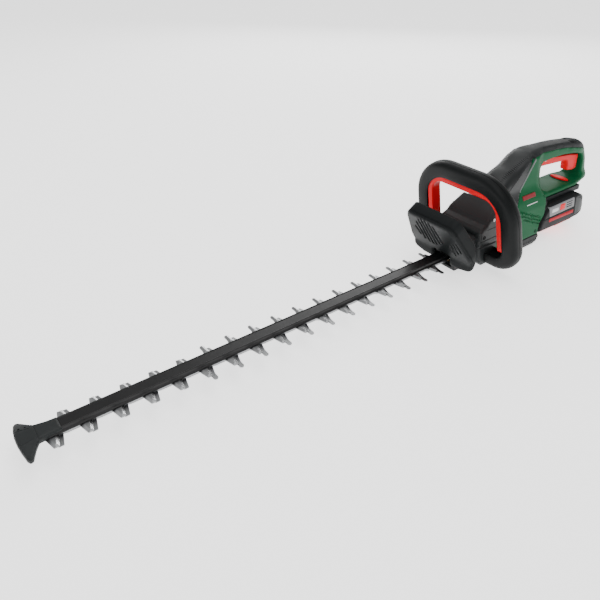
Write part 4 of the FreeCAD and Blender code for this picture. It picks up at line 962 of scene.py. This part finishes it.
TUB = [(-345.5, 23, 3), (-345.5, 33, 6), (-350.5, PACK_SPLIT, 0.3), (-489.3, PACK_SPLIT, 0.3),
       (-490.5, 36, 5), (-485.5, 22.8, 8), (-440, 21.6, 6)]
LID = [(-351, LID_SPLIT, 0.3), (-358, 57, 6), (-370, 71.5, 3), (-463, 71.5, 9), (-486, 60, 14),
       (-489.5, LID_SPLIT, 0.3)]
tub = both_sides("battery_lower", [soften(TUB, 3)], [lambda x, z: np.where(z > PACK_SPLIT - 0.4, 0.5, 5.0)],
                 battery_half, BLACK, "battery", slot="dark_grey_plastic")
lid = both_sides("battery_upper", [soften(LID, 3)], [lambda x, z: np.where(z < LID_SPLIT + 0.3, 0.5, 5.0)],
                 battery_half, BLACK, "battery", slot="dark_grey_plastic")
CAP = [(-452, 30, 2), (-449, 67, 3), (-457, 68.5, 6), (-479, 54.5, 9), (-486.5, 40, 8), (-483, 27, 5)]
rear_cap = battery_panel("battery_cap", CAP, 1.0, GREY, 1.6, "black_plastic")
block("battery_rail_neck", (-478, -22, 69), (-366, 22, 72.6), BLACK, "battery", radius=0.5)
block("battery_rail_head", (-478, -26, 72.4), (-366, 26, 75), BLACK, "battery", radius=0.8)
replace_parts(tub[0], "battery_tub")
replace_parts(lid[0], "battery_lid")
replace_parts(rear_cap[0], "battery_bumper")
LABEL_PLATE = [(-366, 68, 2), (-446, 68, 3), (-449.5, 48, 2), (-371, 48, 2)]
plates = battery_panel("battery_plate", LABEL_PLATE, 0.5, LABEL, 0.4, "label_grey")
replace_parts(plates[0], "battery_labels")
PRINT_LIFT = 0.75
battery_panel("battery_mark", [(-401, 65), (-401, 53), (-417, 52.4), (-417, 64.4)], PRINT_LIFT, RED, 0.2)
battery_panel("battery_text_bar", [(-376, 62), (-376, 55), (-396, 54.4), (-396, 61.4)], PRINT_LIFT, WHITE,
              0.2)
for n in range(3):
    z = 64 - 4.5 * n
    battery_panel("battery_fine_bar_%d" % n, [(-422, z), (-422, z - 1.6), (-440, z - 2), (-440, z - 0.4)],
                  PRINT_LIFT, RECESS_SHADE_AND_PRINT, 0.2)
battery_panel("battery_band", [(-371, 44), (-371, 37.5), (-449, 35), (-450, 41.8)], 0.5, BAND, 0.4)
latch = block("battery_release", (-450, -42.4, 21.3), (-395, 42.4, 26), RED, "battery_latch", radius=1.5)
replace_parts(latch, "battery_latch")

# ---------------------------------------------------------------- floor, lights and camera

SKY_STRENGTH = 0.6
FLOOR_GLOW = 1.45
FLOOR_HALF = 8

world = bpy.data.worlds.new("studio")
bpy.context.scene.world = world
world.use_nodes = True
sky = world.node_tree.nodes["Background"]
sky.inputs["Color"].default_value = (1, 1, 1, 1)
sky.inputs["Strength"].default_value = SKY_STRENGTH

floor_mesh = bpy.data.meshes.new("floor")
floor_mesh.from_pydata([(FLOOR_HALF * x, FLOOR_HALF * y, 0) for x, y in ((-1, -1), (1, -1), (1, 1), (-1, 1))],
                       [], [(0, 1, 2, 3)])
pale = material("pale_floor", (0.93, 0.93, 0.93), 0.75, shine=0.1)
pale_shader = pale.node_tree.nodes["Principled BSDF"]
pale_shader.inputs["Emission Color"].default_value = (1, 1, 1, 1)
pale_shader.inputs["Emission Strength"].default_value = FLOOR_GLOW
floor_mesh.materials.append(pale)
floor = bpy.data.objects.new("floor", floor_mesh)
bpy.context.scene.collection.objects.link(floor)


def lamp(name, spot, aim, size, watts):
    """An area lamp. Its places and sizes are in metres, as are the camera's."""
    light = bpy.data.lights.new(name, "AREA")
    light.shape = "RECTANGLE"
    light.size, light.size_y = size
    light.energy = watts
    thing = bpy.data.objects.new(name, light)
    thing.location = spot
    thing.rotation_euler = (Vector(aim) - Vector(spot)).to_track_quat("-Z", "Y").to_euler()
    bpy.context.scene.collection.objects.link(thing)


lamp("key", (0.6, 1.5, 2.1), (-0.1, 0, 0.05), (1.6, 1.2), 13)
lamp("top", (-0.2, 0.0, 2.2), (-0.1, 0, 0), (2.4, 1.4), 20)
lamp("fill", (1.8, -0.9, 1.0), (0, 0, 0.05), (1.4, 1.4), 6)
lamp("rim", (-1.5, -1.5, 1.0), (0.1, 0, 0.05), (2.0, 1.0), 22)

CAMERA_AT = (0.611, 0.600, 0.562)
CAMERA_YAW, CAMERA_PITCH = math.radians(233.30), math.radians(-23.09)

data = bpy.data.cameras.new("camera")
data.sensor_width = 36
data.lens = 37.9
data.shift_y = -0.2
camera = bpy.data.objects.new("camera", data)
camera.location = CAMERA_AT
look = Vector((math.cos(CAMERA_YAW) * math.cos(CAMERA_PITCH), math.sin(CAMERA_YAW) * math.cos(CAMERA_PITCH),
               math.sin(CAMERA_PITCH)))
camera.rotation_euler = look.to_track_quat("-Z", "Y").to_euler()
bpy.context.scene.collection.objects.link(camera)
bpy.context.scene.camera = camera
